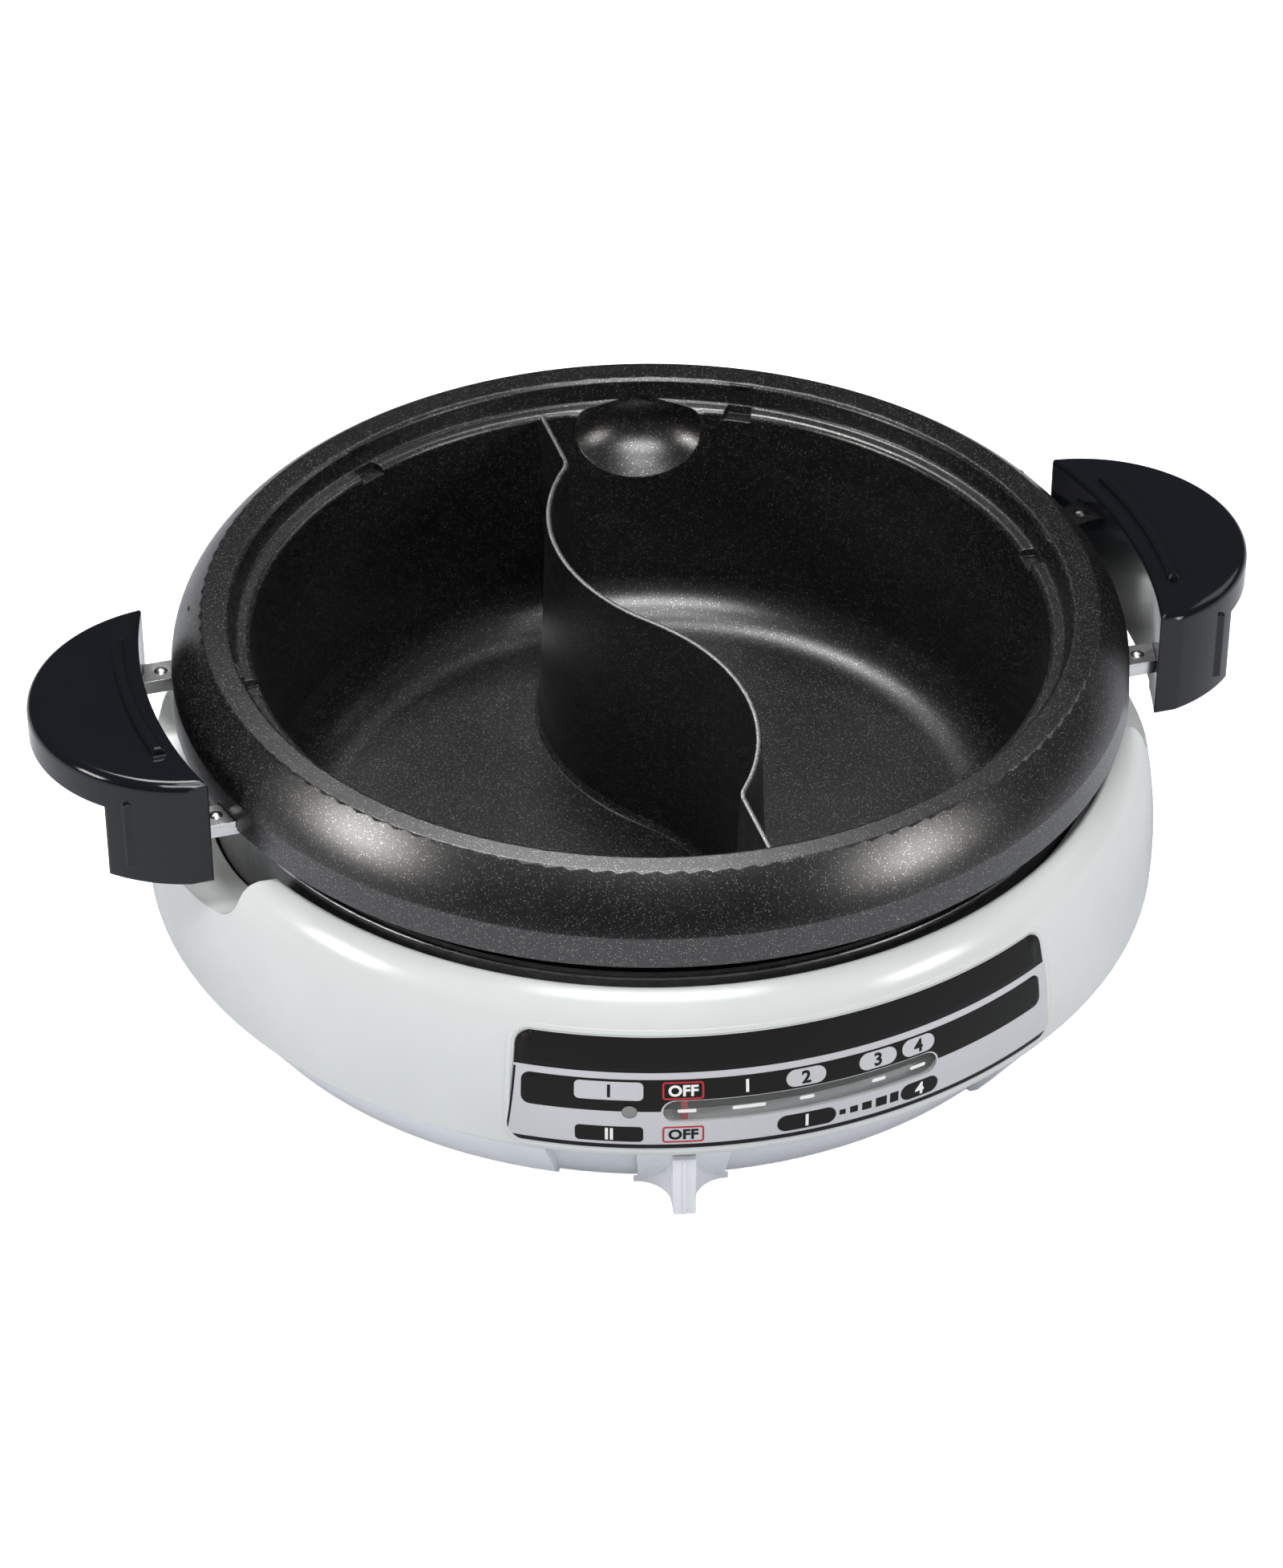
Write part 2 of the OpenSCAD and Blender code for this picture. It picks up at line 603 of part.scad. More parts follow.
panel_proud = 0.25;                     // panel's face beyond the housing's
module control_panel() color([0.75, 0.74, 0.77])
    difference() {
        intersection() {
            side_band(-panel_proud, panel_t, seam_z, panel_top_z + 1);
            panel_prism(0);
        }
        window_prism(0);
        at_lamp() translate([0, 0, -12]) cylinder(r = lamp_r + seat, h = 15);
    }

module slot_window() color([0.6, 0.63, 0.6, 0.5])
    intersection() {
        window_prism(-seat);
        side_band(0.5, panel_t + shell_t + 0.2, window_z - window_h * 0.9, window_z + window_h * 0.87,
                  window_half_az + 3);
    }

lens_t = 4;
neon_r = 2.4;
neon_l = 5;
module lamp_lens() color([0.55, 0.55, 0.55])
    at_lamp() intersection() {
        translate([0, 0, -lens_t]) cylinder(r = lamp_r, h = lens_t + 1);
        translate([0, 0, -9.4]) sphere(10);
    }

module neon_lamp() color([0.8, 0.45, 0.3])
    at_lamp() translate([0, 0, -lens_t - air - neon_r - neon_l]) {
        cylinder(r = neon_r, h = neon_l);
        translate([0, 0, neon_l]) sphere(neon_r - tiny);
    }

// ---- Bottom cover ----------------------------------------------------------
cover_t = 2.4;
cover_shelf_z = seam_z - 3;             // where the cover starts to taper
rim_z = seam_z + 4;
cover_top_r = side_at(seam_z, shell_t) - 2 * seat;
taper = (cover_top_r - cover_foot_r) / (cover_shelf_z - foot_h);
function cover_at(z) = cover_foot_r + taper * (z - foot_h);
recess = 5;                             // depth of the track that the lever runs in
recess_half_az = 28;

module cover_outer(off)
    polygon([[0, foot_h + off], [cover_foot_r - 3, foot_h + off],
             [cover_foot_r + 0.6 - off, foot_h + 3 + off * 0.4],
             [cover_top_r - off, cover_shelf_z], [cover_top_r - off, rim_z + off],
             [0, rim_z + off]]);
track_top_z = cover_shelf_z + 0.8;
module cover_track(off) {
    top = track_top_z - off / 4;
    rotate(panel_az - recess_half_az - off / 3)
        rotate_extrude(angle = 2 * (recess_half_az + off / 3))
            polygon([[cover_at(foot_h - 2) - recess - off, foot_h - 2],
                     [cover_at(rim_z) + 20, foot_h - 2], [cover_at(rim_z) + 20, top],
                     [cover_at(top) - recess - off, top]]);
}

foot_pos = cover_foot_r - 24;
foot_az = [45, 135, 225, 315];
foot_r = 11;
vent_az = [-32, -24, -16, -8, 0, 8, 16, 24, 32];

screw_seat_z = foot_h + 14;             // cover screws bear here
module bottom_cover() color([0.84, 0.84, 0.88])
    difference() {
        union() {
            difference() {
                rotate_extrude() cover_outer(0);
                cover_track(0);
                difference() {
                    rotate_extrude() cover_outer(cover_t);
                    cover_track(cover_t);
                }
            }
            for (a = boss_az) rotate(a) translate([cover_boss_pos, 0, foot_h + 1])
                cylinder(r = cover_boss_r + 1.2, h = boss_low_z - seat - foot_h - 1);
        }
        // screw wells
        for (a = boss_az) rotate(a) translate([cover_boss_pos, 0, 0]) {
            cylinder(r = cover_boss_r - 0.2, h = screw_seat_z);
            cylinder(r = 2, h = 60);
        }
        // sockets for the feet
        for (a = foot_az) rotate(a)
            translate([foot_pos, 0, foot_h - 1]) cylinder(r = foot_r - 4, h = 10);
        // slot that lets the lever through
        rotate(panel_az - recess_half_az + 3) rotate_extrude(angle = 2 * (recess_half_az - 3))
            translate([cover_at(30) - 20, slide_z - 2]) square([40, slide_t + 4]);
        // vents in two fans
        for (s = [0, 180]) for (a = vent_az) rotate(a + s)
            translate([86, -1.6, foot_h - 1]) cube([36, 3.2, 10]);
    }

module rubber_feet() color([0.25, 0.25, 0.25])
    for (a = foot_az) rotate(a) translate([foot_pos, 0, 0]) {
        rotate_extrude() polygon([[0, 0], [foot_r - 1.4, 0], [foot_r, 1.2],
                                  [foot_r - 0.6, foot_h - seat], [0, foot_h - seat]]);
        cylinder(r = foot_r - 4 - seat, h = foot_h + cover_t);
    }

module cover_screws() color([0.6, 0.6, 0.6])
    for (a = boss_az) rotate(a)
        translate([cover_boss_pos, 0, screw_seat_z])
            pan_head_screw(boss_low_z + 6 - screw_seat_z, 1.5, 3.4);

// ---- Heat guard, reflector and heater ---------------------------------------
guard_t = 1.2;
guard_floor_z = 20;
guard_low_r = cover_boss_pos - cover_boss_r - 2.8;
guard_cone_z = 58;
guard_top_z = collar_z - 3;
module heat_guard() color([0.3, 0.31, 0.31])
    difference() {
        rotate_extrude()
            polygon([[26, guard_floor_z], [guard_low_r, guard_floor_z], [guard_low_r, guard_cone_z],
                     [guard_r, guard_cone_z + 12], [guard_r, guard_top_z],
                     [guard_r - 4, guard_top_z + 1.2], [guard_r - 4, guard_top_z],
                     [guard_r - guard_t, guard_top_z - 0.8], [guard_r - guard_t, guard_cone_z + 12.5],
                     [guard_low_r - guard_t, guard_cone_z + 0.5],
                     [guard_low_r - guard_t, guard_floor_z + guard_t],
                     [26, guard_floor_z + guard_t]]);
        // windows for the heater's cold ends
        for (s = [-1, 1]) rotate(90 + s * lead_az)
            translate([heater_r, 0, guard_floor_z - 2]) cylinder(r = sheath_r + 1.4, h = 6);
    }

plate_z = guard_floor_z + guard_t + seat;
plate_t = 0.8;
plate_r = guard_low_r - 5;
gutter_in_r = heater_r - 30;            // raised ring of the plate under the heater
gutter_out_r = heater_r + 26;
module reflector_plate() color([0.8, 0.8, 0.82])
    difference() {
        rotate_extrude()
            polygon([[30, plate_z], [gutter_in_r, plate_z], [gutter_in_r + 4, plate_z + 2],
                     [gutter_out_r, plate_z + 2], [gutter_out_r + 4, plate_z],
                     [plate_r - 6, plate_z], [plate_r, plate_z + 6], [plate_r - 0.8, plate_z + 6.4],
                     [plate_r - 6.4, plate_z + plate_t], [gutter_out_r + 4.3, plate_z + plate_t],
                     [gutter_out_r + 0.3, plate_z + 2 + plate_t],
                     [gutter_in_r + 3.7, plate_z + 2 + plate_t],
                     [gutter_in_r - 0.3, plate_z + plate_t], [30, plate_z + plate_t]]);
        for (s = [-1, 1]) rotate(90 + s * lead_az)
            translate([heater_r, 0, plate_z - 2]) cylinder(r = sheath_r + 1.4, h = 8);
        for (a = plate_screw_az) rotate(a)
            translate([plate_screw_r, 0, plate_z - 2]) cylinder(r = 2, h = 6);
    }
plate_screw_az = [30, 150, 270];
plate_screw_r = (gutter_out_r + plate_r - 2) / 2;   // middle of the flat outside the gutter

module reflector_screws() color([0.6, 0.6, 0.6])
    for (a = plate_screw_az) rotate(a) translate([plate_screw_r, 0, plate_z + plate_t])
        mirror([0, 0, 1]) pan_head_screw(plate_z + plate_t - guard_floor_z + 1.5, 1.6, 3);

heater_z = pan_bottom_z - rest_gap - sheath_r;
lead_az = 9;
// Sheathed ring, open at the back, whose ends turn down to the terminals.
module heater_element() color([0.35, 0.34, 0.33]) {
    rotate(90 + lead_az) rotate_extrude(angle = 360 - 2 * lead_az)
        translate([heater_r, heater_z]) circle(sheath_r);
    for (s = [-1, 1]) rotate(90 + s * lead_az) translate([heater_r, 0, 0]) {
        translate([0, 0, heater_z]) sphere(sheath_r + tiny);
        translate([0, 0, guard_floor_z - 6])
            cylinder(r = sheath_r - tiny, h = heater_z - guard_floor_z + 6);
        translate([0, 0, guard_floor_z - 9]) cylinder(r = 1.2, h = 4);
    }
}

clip_az = [10, 170, 270];
clip_base_z = plate_z + 2 + plate_t;
module heater_clips() color([0.65, 0.65, 0.66])
    for (a = clip_az) rotate(a) translate([heater_r, 0, 0]) {
        translate([-10, -5, clip_base_z]) cube([20, 10, 0.8]);
        difference() {
            translate([-5.6, -5, clip_base_z]) cube([11.2, 10, heater_z - clip_base_z]);
            translate([0, 6, heater_z]) rotate([90, 0, 0]) cylinder(r = sheath_r + seat, h = 12);
            translate([-sheath_r - seat, -6, heater_z]) cube([2 * (sheath_r + seat), 12, 10]);
            translate([-4, -3.8, clip_base_z + 0.8])
                cube([8, 7.6, heater_z - sheath_r - seat - clip_base_z - 1.6]);
        }
    }

rest_az = [30, 150, 270];
rest_r = heater_r + 17;
module pan_rests() color([0.7, 0.7, 0.7])
    for (a = rest_az) rotate(a) translate([rest_r, 0, clip_base_z]) {
        difference() {
            translate([-4, -7, 0]) cube([8, 14, pan_bottom_z - rest_gap - clip_base_z]);
            translate([-5, -4.5, -1]) cube([10, 9, pan_bottom_z - rest_gap - clip_base_z - 0.4]);
        }
    }

// ---- Thermostat and sprung sensor --------------------------------------------
stat_r = 17;
stat_z = 12.5;
stat_h = 11;
cap_r = 9;
stem_r = 3;
sleeve_r = 12.5;
sleeve_z = stat_z + stat_h + seat;
cap_top_z = pan_bottom_z - rest_gap;
cap_h = 2.2;
stem_low_z = sleeve_z - sensor_travel;   // the stem stays guided when pressed
module thermostat_body() color([0.85, 0.82, 0.72])
    difference() {
        union() {
            rotate_extrude()
                polygon([[0, stat_z], [stat_r - 1, stat_z], [stat_r, stat_z + 1],
                         [stat_r, stat_z + stat_h - 1], [stat_r - 1, stat_z + stat_h],
                         [0, stat_z + stat_h]]);
            // ears screwed to the guard's floor, and blade terminals
            translate([-30, -5, guard_floor_z - 1.6]) cube([60, 10, 1.5]);
            for (s = [-1, 1]) translate([s * 7 - 3.2, stat_r - 2, stat_z + 3]) cube([6.4, 11, 0.8]);
        }
        translate([0, 0, stat_z - 1]) cylinder(r = shaft_r + 0.05, h = 7);
        translate([0, 0, stem_low_z - sensor_travel]) cylinder(r = stem_r + 0.05, h = stat_h);
    }

shaft_r = 3;
arm_z = 9.2;
arm_t = 1.4;
module thermostat_shaft() color([0.75, 0.7, 0.55])
    difference() {
        union() {
            translate([0, 0, arm_z - 1.2]) cylinder(r = shaft_r, h = stat_z + 5 - arm_z);
            translate([0, 0, arm_z - 1.6]) cylinder(r = 4.4, h = 1.6 - tiny);
        }
        translate([0, 0, arm_z - 2]) cylinder(r = 1, h = 6);
    }

module sensor_sleeve() color([0.72, 0.72, 0.73])
    rotate_extrude()
        polygon([[stem_r + 0.6, sleeve_z], [sleeve_r, sleeve_z], [sleeve_r, sleeve_z + 5],
                 [sleeve_r - 0.8, sleeve_z + 5], [sleeve_r - 0.8, sleeve_z + 0.8],
                 [stem_r + 0.6, sleeve_z + 0.8]]);

spring_r = 7;
wire_r = 0.6;
spring_z0 = sleeve_z + 0.8 + wire_r;
spring_z1 = cap_top_z - cap_h - wire_r - 0.05;
spring_turns = 4;
spring_steps = 24 * spring_turns;
module sensor_spring() color([0.7, 0.7, 0.72])
    polyhedron(
        points = [for (i = [0:spring_steps])
                  let (a = 360 * i / 24, z = mid(spring_z0, spring_z1, i / spring_steps))
                  for (j = [0:7]) let (q = [spring_r, z] + polar(wire_r, 45 * j))
                  [q[0] * cos(a), q[0] * sin(a), q[1]]],
        faces = concat(
            [[for (j = [0:7]) j]], [[for (j = [7:-1:0]) 8 * spring_steps + j]],
            [for (i = [0:spring_steps - 1]) for (j = [0:7]) let (k = (j + 1) % 8)
             [8 * i + j, 8 * (i + 1) + j, 8 * (i + 1) + k, 8 * i + k]]));

module sensor_cap() color([0.8, 0.8, 0.8])
    rotate_extrude()
        polygon([[0, stem_low_z], [stem_r, stem_low_z], [stem_r, cap_top_z - cap_h],
                 [spring_r + 1.4, cap_top_z - cap_h], [spring_r + 1.4, cap_top_z - cap_h - 2.2],
                 [cap_r, cap_top_z - cap_h - 2.2],
                 [cap_r, cap_top_z - 1], [cap_r - 1, cap_top_z], [0, cap_top_z]]);

// ---- Control lever -------------------------------------------------------------
lever_az = panel_az - lever_travel / 2;
shield_out = recess - 3.8;              // shield's outer face under the cover's skin
shield_t = 2.3;
lever_low_z = foot_h + 1.2;
lever_top_z = cover_shelf_z - 2;
shield_top_z = lever_top_z + 1.6;
slide_z = seam_z - 9;                   // level of the lever's tongue
slide_t = 2.2;
shield_half = shield_az / 2 * PI / 180 * cover_at(lever_top_z);
blend_r = shield_half - tab_w / 2;      // sweep from the shield's sides into the tab
blend_x = cover_at(lever_low_z) - shield_out;
tab_r = cover_at(lever_top_z) + 1.4;    // tab's outer face
tab_round = 0.8;
tongue_r = cover_at(slide_z) - recess - cover_t - 9;

// Plan of the lever: a tab that sweeps out into the shield behind it.
module lever_plan() {
    half = concat([[blend_x - 12, shield_half]],
                  arc([blend_x + blend_r, shield_half], blend_r, 180, 270, 7),
                  arc([tab_r - tab_round, tab_w / 2 - tab_round], tab_round, 75, 0, 3));
    polygon(concat(half, [for (i = [len(half) - 1:-1:0]) [half[i][0], -half[i][1]]]));
}
// Band between two cones that run parallel to the cover's side.
module cone_band(off0, off1, z0, z1, az)
    rotate(-az / 2) rotate_extrude(angle = az)
        polygon([[cover_at(z0) - off0, z0], [cover_at(z1) - off0, z1],
                 [cover_at(z1) - off1, z1], [cover_at(z0) - off1, z0]]);
module control_lever() color([0.9, 0.9, 0.92])
    rotate(lever_az) difference() {
        union() {
            cone_band(shield_out, shield_out + shield_t, lever_low_z + 0.3, shield_top_z, shield_az);
            intersection() {
                translate([0, 0, lever_low_z]) linear_extrude(lever_top_z - lever_low_z) lever_plan();
                cone_band(shield_out - 30, shield_out + 1, lever_low_z - 1, lever_top_z + 1, shield_az + 3);
            }
            // fine ridge down the middle of the tab
            translate([tab_r - 0.5, -0.6, lever_low_z + 0.3])
                cube([1, 1.2, lever_top_z - lever_low_z - 0.6]);
            // tongue through the slot
            rotate(-3.4) rotate_extrude(angle = 6.8)
                translate([tongue_r, slide_z])
                    square([cover_at(slide_z) - shield_out - 1 - tongue_r, slide_t]);
        }
        // the tab is hollow behind, under the tongue
        translate([blend_x - 20, -tab_w / 2 + 1.8, lever_low_z + 2.2])
            cube([tab_r - 2.2 - blend_x + 20, tab_w - 3.6, slide_z - lever_low_z - 4.6]);
        for (s = [-1, 1]) rotate(s * 1.2)
            translate([tongue_r + 5, 0, slide_z - 1]) cylinder(r = 1, h = 5);
    }

// Steel arm from the tongue to the thermostat's shaft, bent clear of the guard.
arm_w = 9;
knee_r = cover_at(arm_z) - recess - cover_t - 12;
arm_top_z = slide_z - tiny;
module lever_arm() color([0.7, 0.7, 0.72])
    rotate(lever_az) difference() {
        union() {
            rotate([90, 0, 0]) translate([0, 0, -arm_w / 2]) linear_extrude(arm_w)
                polygon([[3.5, arm_z], [knee_r, arm_z], [tongue_r + 1.6, arm_top_z - arm_t - 2],
                         [tongue_r + 2.4, arm_top_z - arm_t], [tongue_r + 9, arm_top_z - arm_t],
                         [tongue_r + 9, arm_top_z], [tongue_r + 1.4, arm_top_z],
                         [tongue_r, arm_top_z - 1.6], [knee_r - 0.6, arm_z + arm_t],
                         [3.5, arm_z + arm_t]]);
            translate([0, 0, arm_z]) cylinder(r = 8, h = arm_t);
        }
        translate([0, 0, arm_z - 1]) cylinder(r = shaft_r, h = 4);
        for (s = [-1, 1]) rotate(s * 1.2)
            translate([tongue_r + 5, 0, slide_z - 4]) cylinder(r = 0.9, h = 6);
    }

flag_r = min(side_at(window_z + window_h / 2, panel_t + shell_t + 0.2), cover_top_r - cover_t) - air - 1.4;
flag_w = 2.5;
module pointer_flag() color([0.8, 0.12, 0.12])
    rotate(lever_az) {
        translate([flag_r, -flag_w / 2, shield_top_z])
            cube([1, flag_w, window_z + window_h / 2 - shield_top_z + 0.6]);
        translate([flag_r - 0.5, -flag_w, shield_top_z]) cube([1.9, 2 * flag_w, 0.9]);
    }

// ---- Power inlet -----------------------------------------------------------------
pin_x = 9;
pin_r = 2.4;
socket_depth = inlet_face_y - inlet_back_y - 2;
module power_inlet() color([0.12, 0.12, 0.12])
    difference() {
        translate([-inlet_w / 2, inlet_back_y, inlet_z - inlet_h / 2])
            cube([inlet_w, inlet_face_y - inlet_back_y, inlet_h]);
        translate([-inlet_w / 2 + 3.5, inlet_face_y - socket_depth, inlet_z - inlet_h / 2 + 3.5])
            cube([inlet_w - 7, socket_depth + 1, inlet_h - 7]);
        for (s = [-1, 1]) translate([s * pin_x, inlet_back_y - 1, inlet_z])
            rotate([-90, 0, 0]) cylinder(r = pin_r, h = 30);
    }
module inlet_pins() color([0.8, 0.72, 0.5])
    for (s = [-1, 1]) translate([s * pin_x, 0, inlet_z]) {
        translate([0, inlet_back_y - 0.5, 0])
            rotate([-90, 0, 0]) cylinder(r = pin_r, h = inlet_face_y - 3.5 - inlet_back_y + 0.5);
        translate([0, inlet_face_y - 3.5, 0]) sphere(pin_r - tiny);
    }

block_y = cover_foot_r - 46;
module terminal_block() color([0.9, 0.88, 0.8])
    difference() {
        translate([-24, block_y, foot_h + cover_t]) cube([48, 18, 10]);
        for (k = [-1, 0, 1]) translate([15 * k, 0, 0]) {
            translate([0, block_y + 9, foot_h + cover_t + 3]) cylinder(r = 3, h = 10);
            translate([-2.5, block_y - 1, foot_h + cover_t + 3]) cube([5, 20, 3]);
        }
    }

pan();
handle_left();
handle_right();
handle_brackets();
handle_straps();
bracket_rivets();
handle_screws();
base_housing();
bottom_cover();
control_panel();
slot_window();
lamp_lens();
neon_lamp();
heat_guard();
reflector_plate();
heater_element();
heater_clips();
pan_rests();
thermostat_body();
sensor_sleeve();
sensor_spring();
sensor_cap();
thermostat_shaft();
lever_arm();
control_lever();
pointer_flag();
power_inlet();
inlet_pins();
terminal_block();
rubber_feet();
cover_screws();
reflector_screws();
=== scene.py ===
"""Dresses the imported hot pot: finished shells, the printed panel and a plain studio stage."""

import json
import math

import bmesh
import bpy
import numpy as np
from mathutils import Matrix, Vector


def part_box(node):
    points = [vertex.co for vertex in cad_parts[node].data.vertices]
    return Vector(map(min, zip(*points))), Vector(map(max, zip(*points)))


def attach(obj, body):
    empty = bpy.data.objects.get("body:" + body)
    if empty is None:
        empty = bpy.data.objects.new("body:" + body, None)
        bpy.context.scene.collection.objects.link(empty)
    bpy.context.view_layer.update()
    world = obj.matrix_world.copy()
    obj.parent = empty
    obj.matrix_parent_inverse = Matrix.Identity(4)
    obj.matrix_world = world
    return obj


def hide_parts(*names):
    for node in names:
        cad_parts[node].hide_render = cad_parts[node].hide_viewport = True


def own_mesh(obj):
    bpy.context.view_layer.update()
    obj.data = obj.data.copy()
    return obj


bl_info = {
    "name": "Divided hot pot",
    "version": (1, 0, 0),
    "blender": (4, 5, 0),
    "location": "View3D > Sidebar > Hot pot",
    "description": "Finishes the parts of an electric hot pot and sets its stage",
    "category": "Object",
}

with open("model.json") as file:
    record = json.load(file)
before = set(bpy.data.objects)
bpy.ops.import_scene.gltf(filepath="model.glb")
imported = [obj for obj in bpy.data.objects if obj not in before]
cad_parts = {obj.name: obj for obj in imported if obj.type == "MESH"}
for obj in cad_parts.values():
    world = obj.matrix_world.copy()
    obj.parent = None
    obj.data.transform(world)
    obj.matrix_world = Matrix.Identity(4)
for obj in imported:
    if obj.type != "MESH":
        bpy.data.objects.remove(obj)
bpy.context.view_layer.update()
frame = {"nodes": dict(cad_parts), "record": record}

MM = 0.001
WELD = 2e-6  # corners of a part that are closer than this are one
TINY = 1e-7  # tolerance of a cut or a weld in a drawing
PANEL_AZ = -90.0  # direction of the panel's middle, in degrees
FACE_HEIGHTS = (0.039, 0.087)  # between them the base's face is one arc

# What the parts' boxes don't give, in metres and degrees.
LEDGE = 0.0102  # depth of the ledge and of the divider's top under the lip
WELL = 0.148  # within this radius only the divider comes up to the ledge
DISH_AZ = 75.2  # direction of the first ladle rest; the second is opposite
DISH_CENTRE = 0.122  # radius at which its sphere is centred
DISH_DROP = 0.0058  # depth of that centre under the ledge
DISH_R = 0.037  # radius of the sphere
EDGE_LEAN = 0.126  # how far the panel's left edge runs inwards for each unit up

# Levels of print on the panel.
ON_FILM, ON_BAND, ON_PILL = 0, 1, 2


# ---- Sizes and colours that a user may change -----------------------------


def length(name, text, default):
    return bpy.props.FloatProperty(
        name=name, description=text, default=default, min=0.0, subtype="DISTANCE", unit="LENGTH"
    )


def colour(name, text, default):
    return bpy.props.FloatVectorProperty(
        name=name, description=text, default=default, size=3, min=0.0, max=1.0, subtype="COLOR"
    )


def share(name, text, default):
    return bpy.props.FloatProperty(
        name=name, description=text, default=default, min=0.0, soft_max=4.0, subtype="FACTOR"
    )


class HotPotSizes(bpy.types.PropertyGroup):
    ink: length("Ink", "Height of the printed marks over the panel", 0.00007)
    border_width: length("Border width", "Width of the low border round the panel", 0.0022)
    border_height: length("Border height", "Height of the border over the housing", 0.00028)
    trim_wire: length("Trim wire", "Radius of the bright wire edge in the collar", 0.0007)
    letter: length("Letters", "Height of the printed numerals", 0.0052)


class HotPotColours(bpy.types.PropertyGroup):
    coating: colour("Coating", "Non-stick coating of the pan", (0.0026, 0.0024, 0.0028))
    flake: colour("Flake", "Metallic fleck in the coating", (0.50, 0.455, 0.42))
    housing: colour("Housing", "Off-white plastic of the base", (0.645, 0.667, 0.655))
    cover: colour("Cover", "Cool white plastic under the seam", (0.80, 0.815, 0.85))
    handle: colour("Handle", "Black phenolic of the handles", (0.006, 0.007, 0.009))
    panel: colour("Panel", "Silver film of the control panel", (0.55, 0.548, 0.57))
    ink_black: colour("Black ink", "Dark bands on the panel", (0.010, 0.0105, 0.009))
    ink_red: colour("Red ink", "Frames round the off marks", (0.45, 0.008, 0.02))
    ink_white: colour("White ink", "Letters on the dark bands", (0.86, 0.86, 0.84))
    pointer: colour("Pointer", "Flag behind the window", (0.85, 0.02, 0.03))


class HotPotStage(bpy.types.PropertyGroup):
    top: share("Top light", "Strength of the softboxes overhead and in front", 1.0)
    sides: share("Side lights", "Strength of the softboxes at the sides and below", 1.0)
    room: share("Room", "Light that comes evenly from the room", 1.0)


def sizes():
    return bpy.context.scene.hot_pot_sizes


def colours():
    return bpy.context.scene.hot_pot_colours


# ---- Shader node groups ----------------------------------------------------


def feed(tree, socket, value):
    """Gives a socket its value, or links it to the one that feeds it."""
    if isinstance(value, bpy.types.NodeSocket):
        tree.links.new(value, socket)
    else:
        socket.default_value = value


def node(tree, kind, inputs=None, **settings):
    """Adds a node with its settings; an input is a value or the socket that feeds it."""
    made = tree.nodes.new(kind)
    for key, value in settings.items():
        setattr(made, key, value)
    for key, value in (inputs or {}).items():
        feed(tree, made.inputs[key], value)
    return made


def maths(tree, operation, a, b=0.0, clamp=False):
    return node(
        tree, "ShaderNodeMath", {0: a, 1: b}, operation=operation, use_clamp=clamp
    ).outputs[0]


def spread(tree, value, low, high, out_low=0.0, out_high=1.0):
    inputs = {0: value, 1: low, 2: high, 3: out_low, 4: out_high}
    return node(
        tree, "ShaderNodeMapRange", inputs, interpolation_type="SMOOTHSTEP"
    ).outputs[0]


def mixed(tree, share_of_other, one, other, **settings):
    inputs = {"Factor": share_of_other, 6: one, 7: other}
    return node(tree, "ShaderNodeMix", inputs, data_type="RGBA", **settings).outputs[2]


def noise(tree, where, scale, detail, **inputs):
    inputs = {"Vector": where, "Scale": scale, "Detail": detail, **inputs}
    return node(tree, "ShaderNodeTexNoise", inputs).outputs["Fac"]


GROUPS = {}


def group(name, takes, *gives):
    """Lists a function that fills a node group, which is built once and shared.

    Each input has its default, a number or a colour. The output "Colour" is a colour.
    """

    def socket(tree, label, in_out, is_colour):
        kind = "NodeSocketColor" if is_colour else "NodeSocketFloat"
        return tree.interface.new_socket(name=label, in_out=in_out, socket_type=kind)

    def build(fill):
        tree = bpy.data.node_groups.new(name, "ShaderNodeTree")
        for label, default in takes.items():
            is_colour = hasattr(default, "__len__")
            made = socket(tree, label, "INPUT", is_colour)
            made.default_value = (*default, 1.0) if is_colour else default
        for label in gives:
            socket(tree, label, "OUTPUT", label == "Colour")
        inputs = tree.nodes.new("NodeGroupInput").outputs
        fill(tree, inputs, tree.nodes.new("NodeGroupOutput").inputs)
        return tree

    def listed(fill):
        GROUPS[name] = lambda: bpy.data.node_groups.get(name) or build(fill)
        return fill

    return listed


def place(tree, name, **inputs):
    """Puts a node group to use; its inputs are numbers and colours."""
    made = tree.nodes.new("ShaderNodeGroup")
    made.node_tree = GROUPS[name]()
    for key, value in inputs.items():
        is_colour = hasattr(value, "__len__")
        feed(tree, made.inputs[key.replace("_", " ")], (*value, 1.0) if is_colour else value)
    return made


def object_place(tree):
    return tree.nodes.new("ShaderNodeTexCoord").outputs["Object"]


@group("Moulding grain", {"Size": 0.8, "Wave": 0.3}, "Height", "Tone")
def moulding_grain(tree, takes, gives):
    """Fine texture of a moulded or painted skin, with a slow waviness under it."""
    where = object_place(tree)
    scale = maths(tree, "DIVIDE", 1000.0, takes["Size"])
    fine = noise(tree, where, scale, 3.0)
    slow = noise(tree, where, 28.0, 2.0)
    wave = maths(tree, "MULTIPLY", slow, takes["Wave"])
    tree.links.new(maths(tree, "ADD", fine, wave), gives["Height"])
    tree.links.new(spread(tree, slow, 0.3, 0.7, 0.965, 1.0), gives["Tone"])


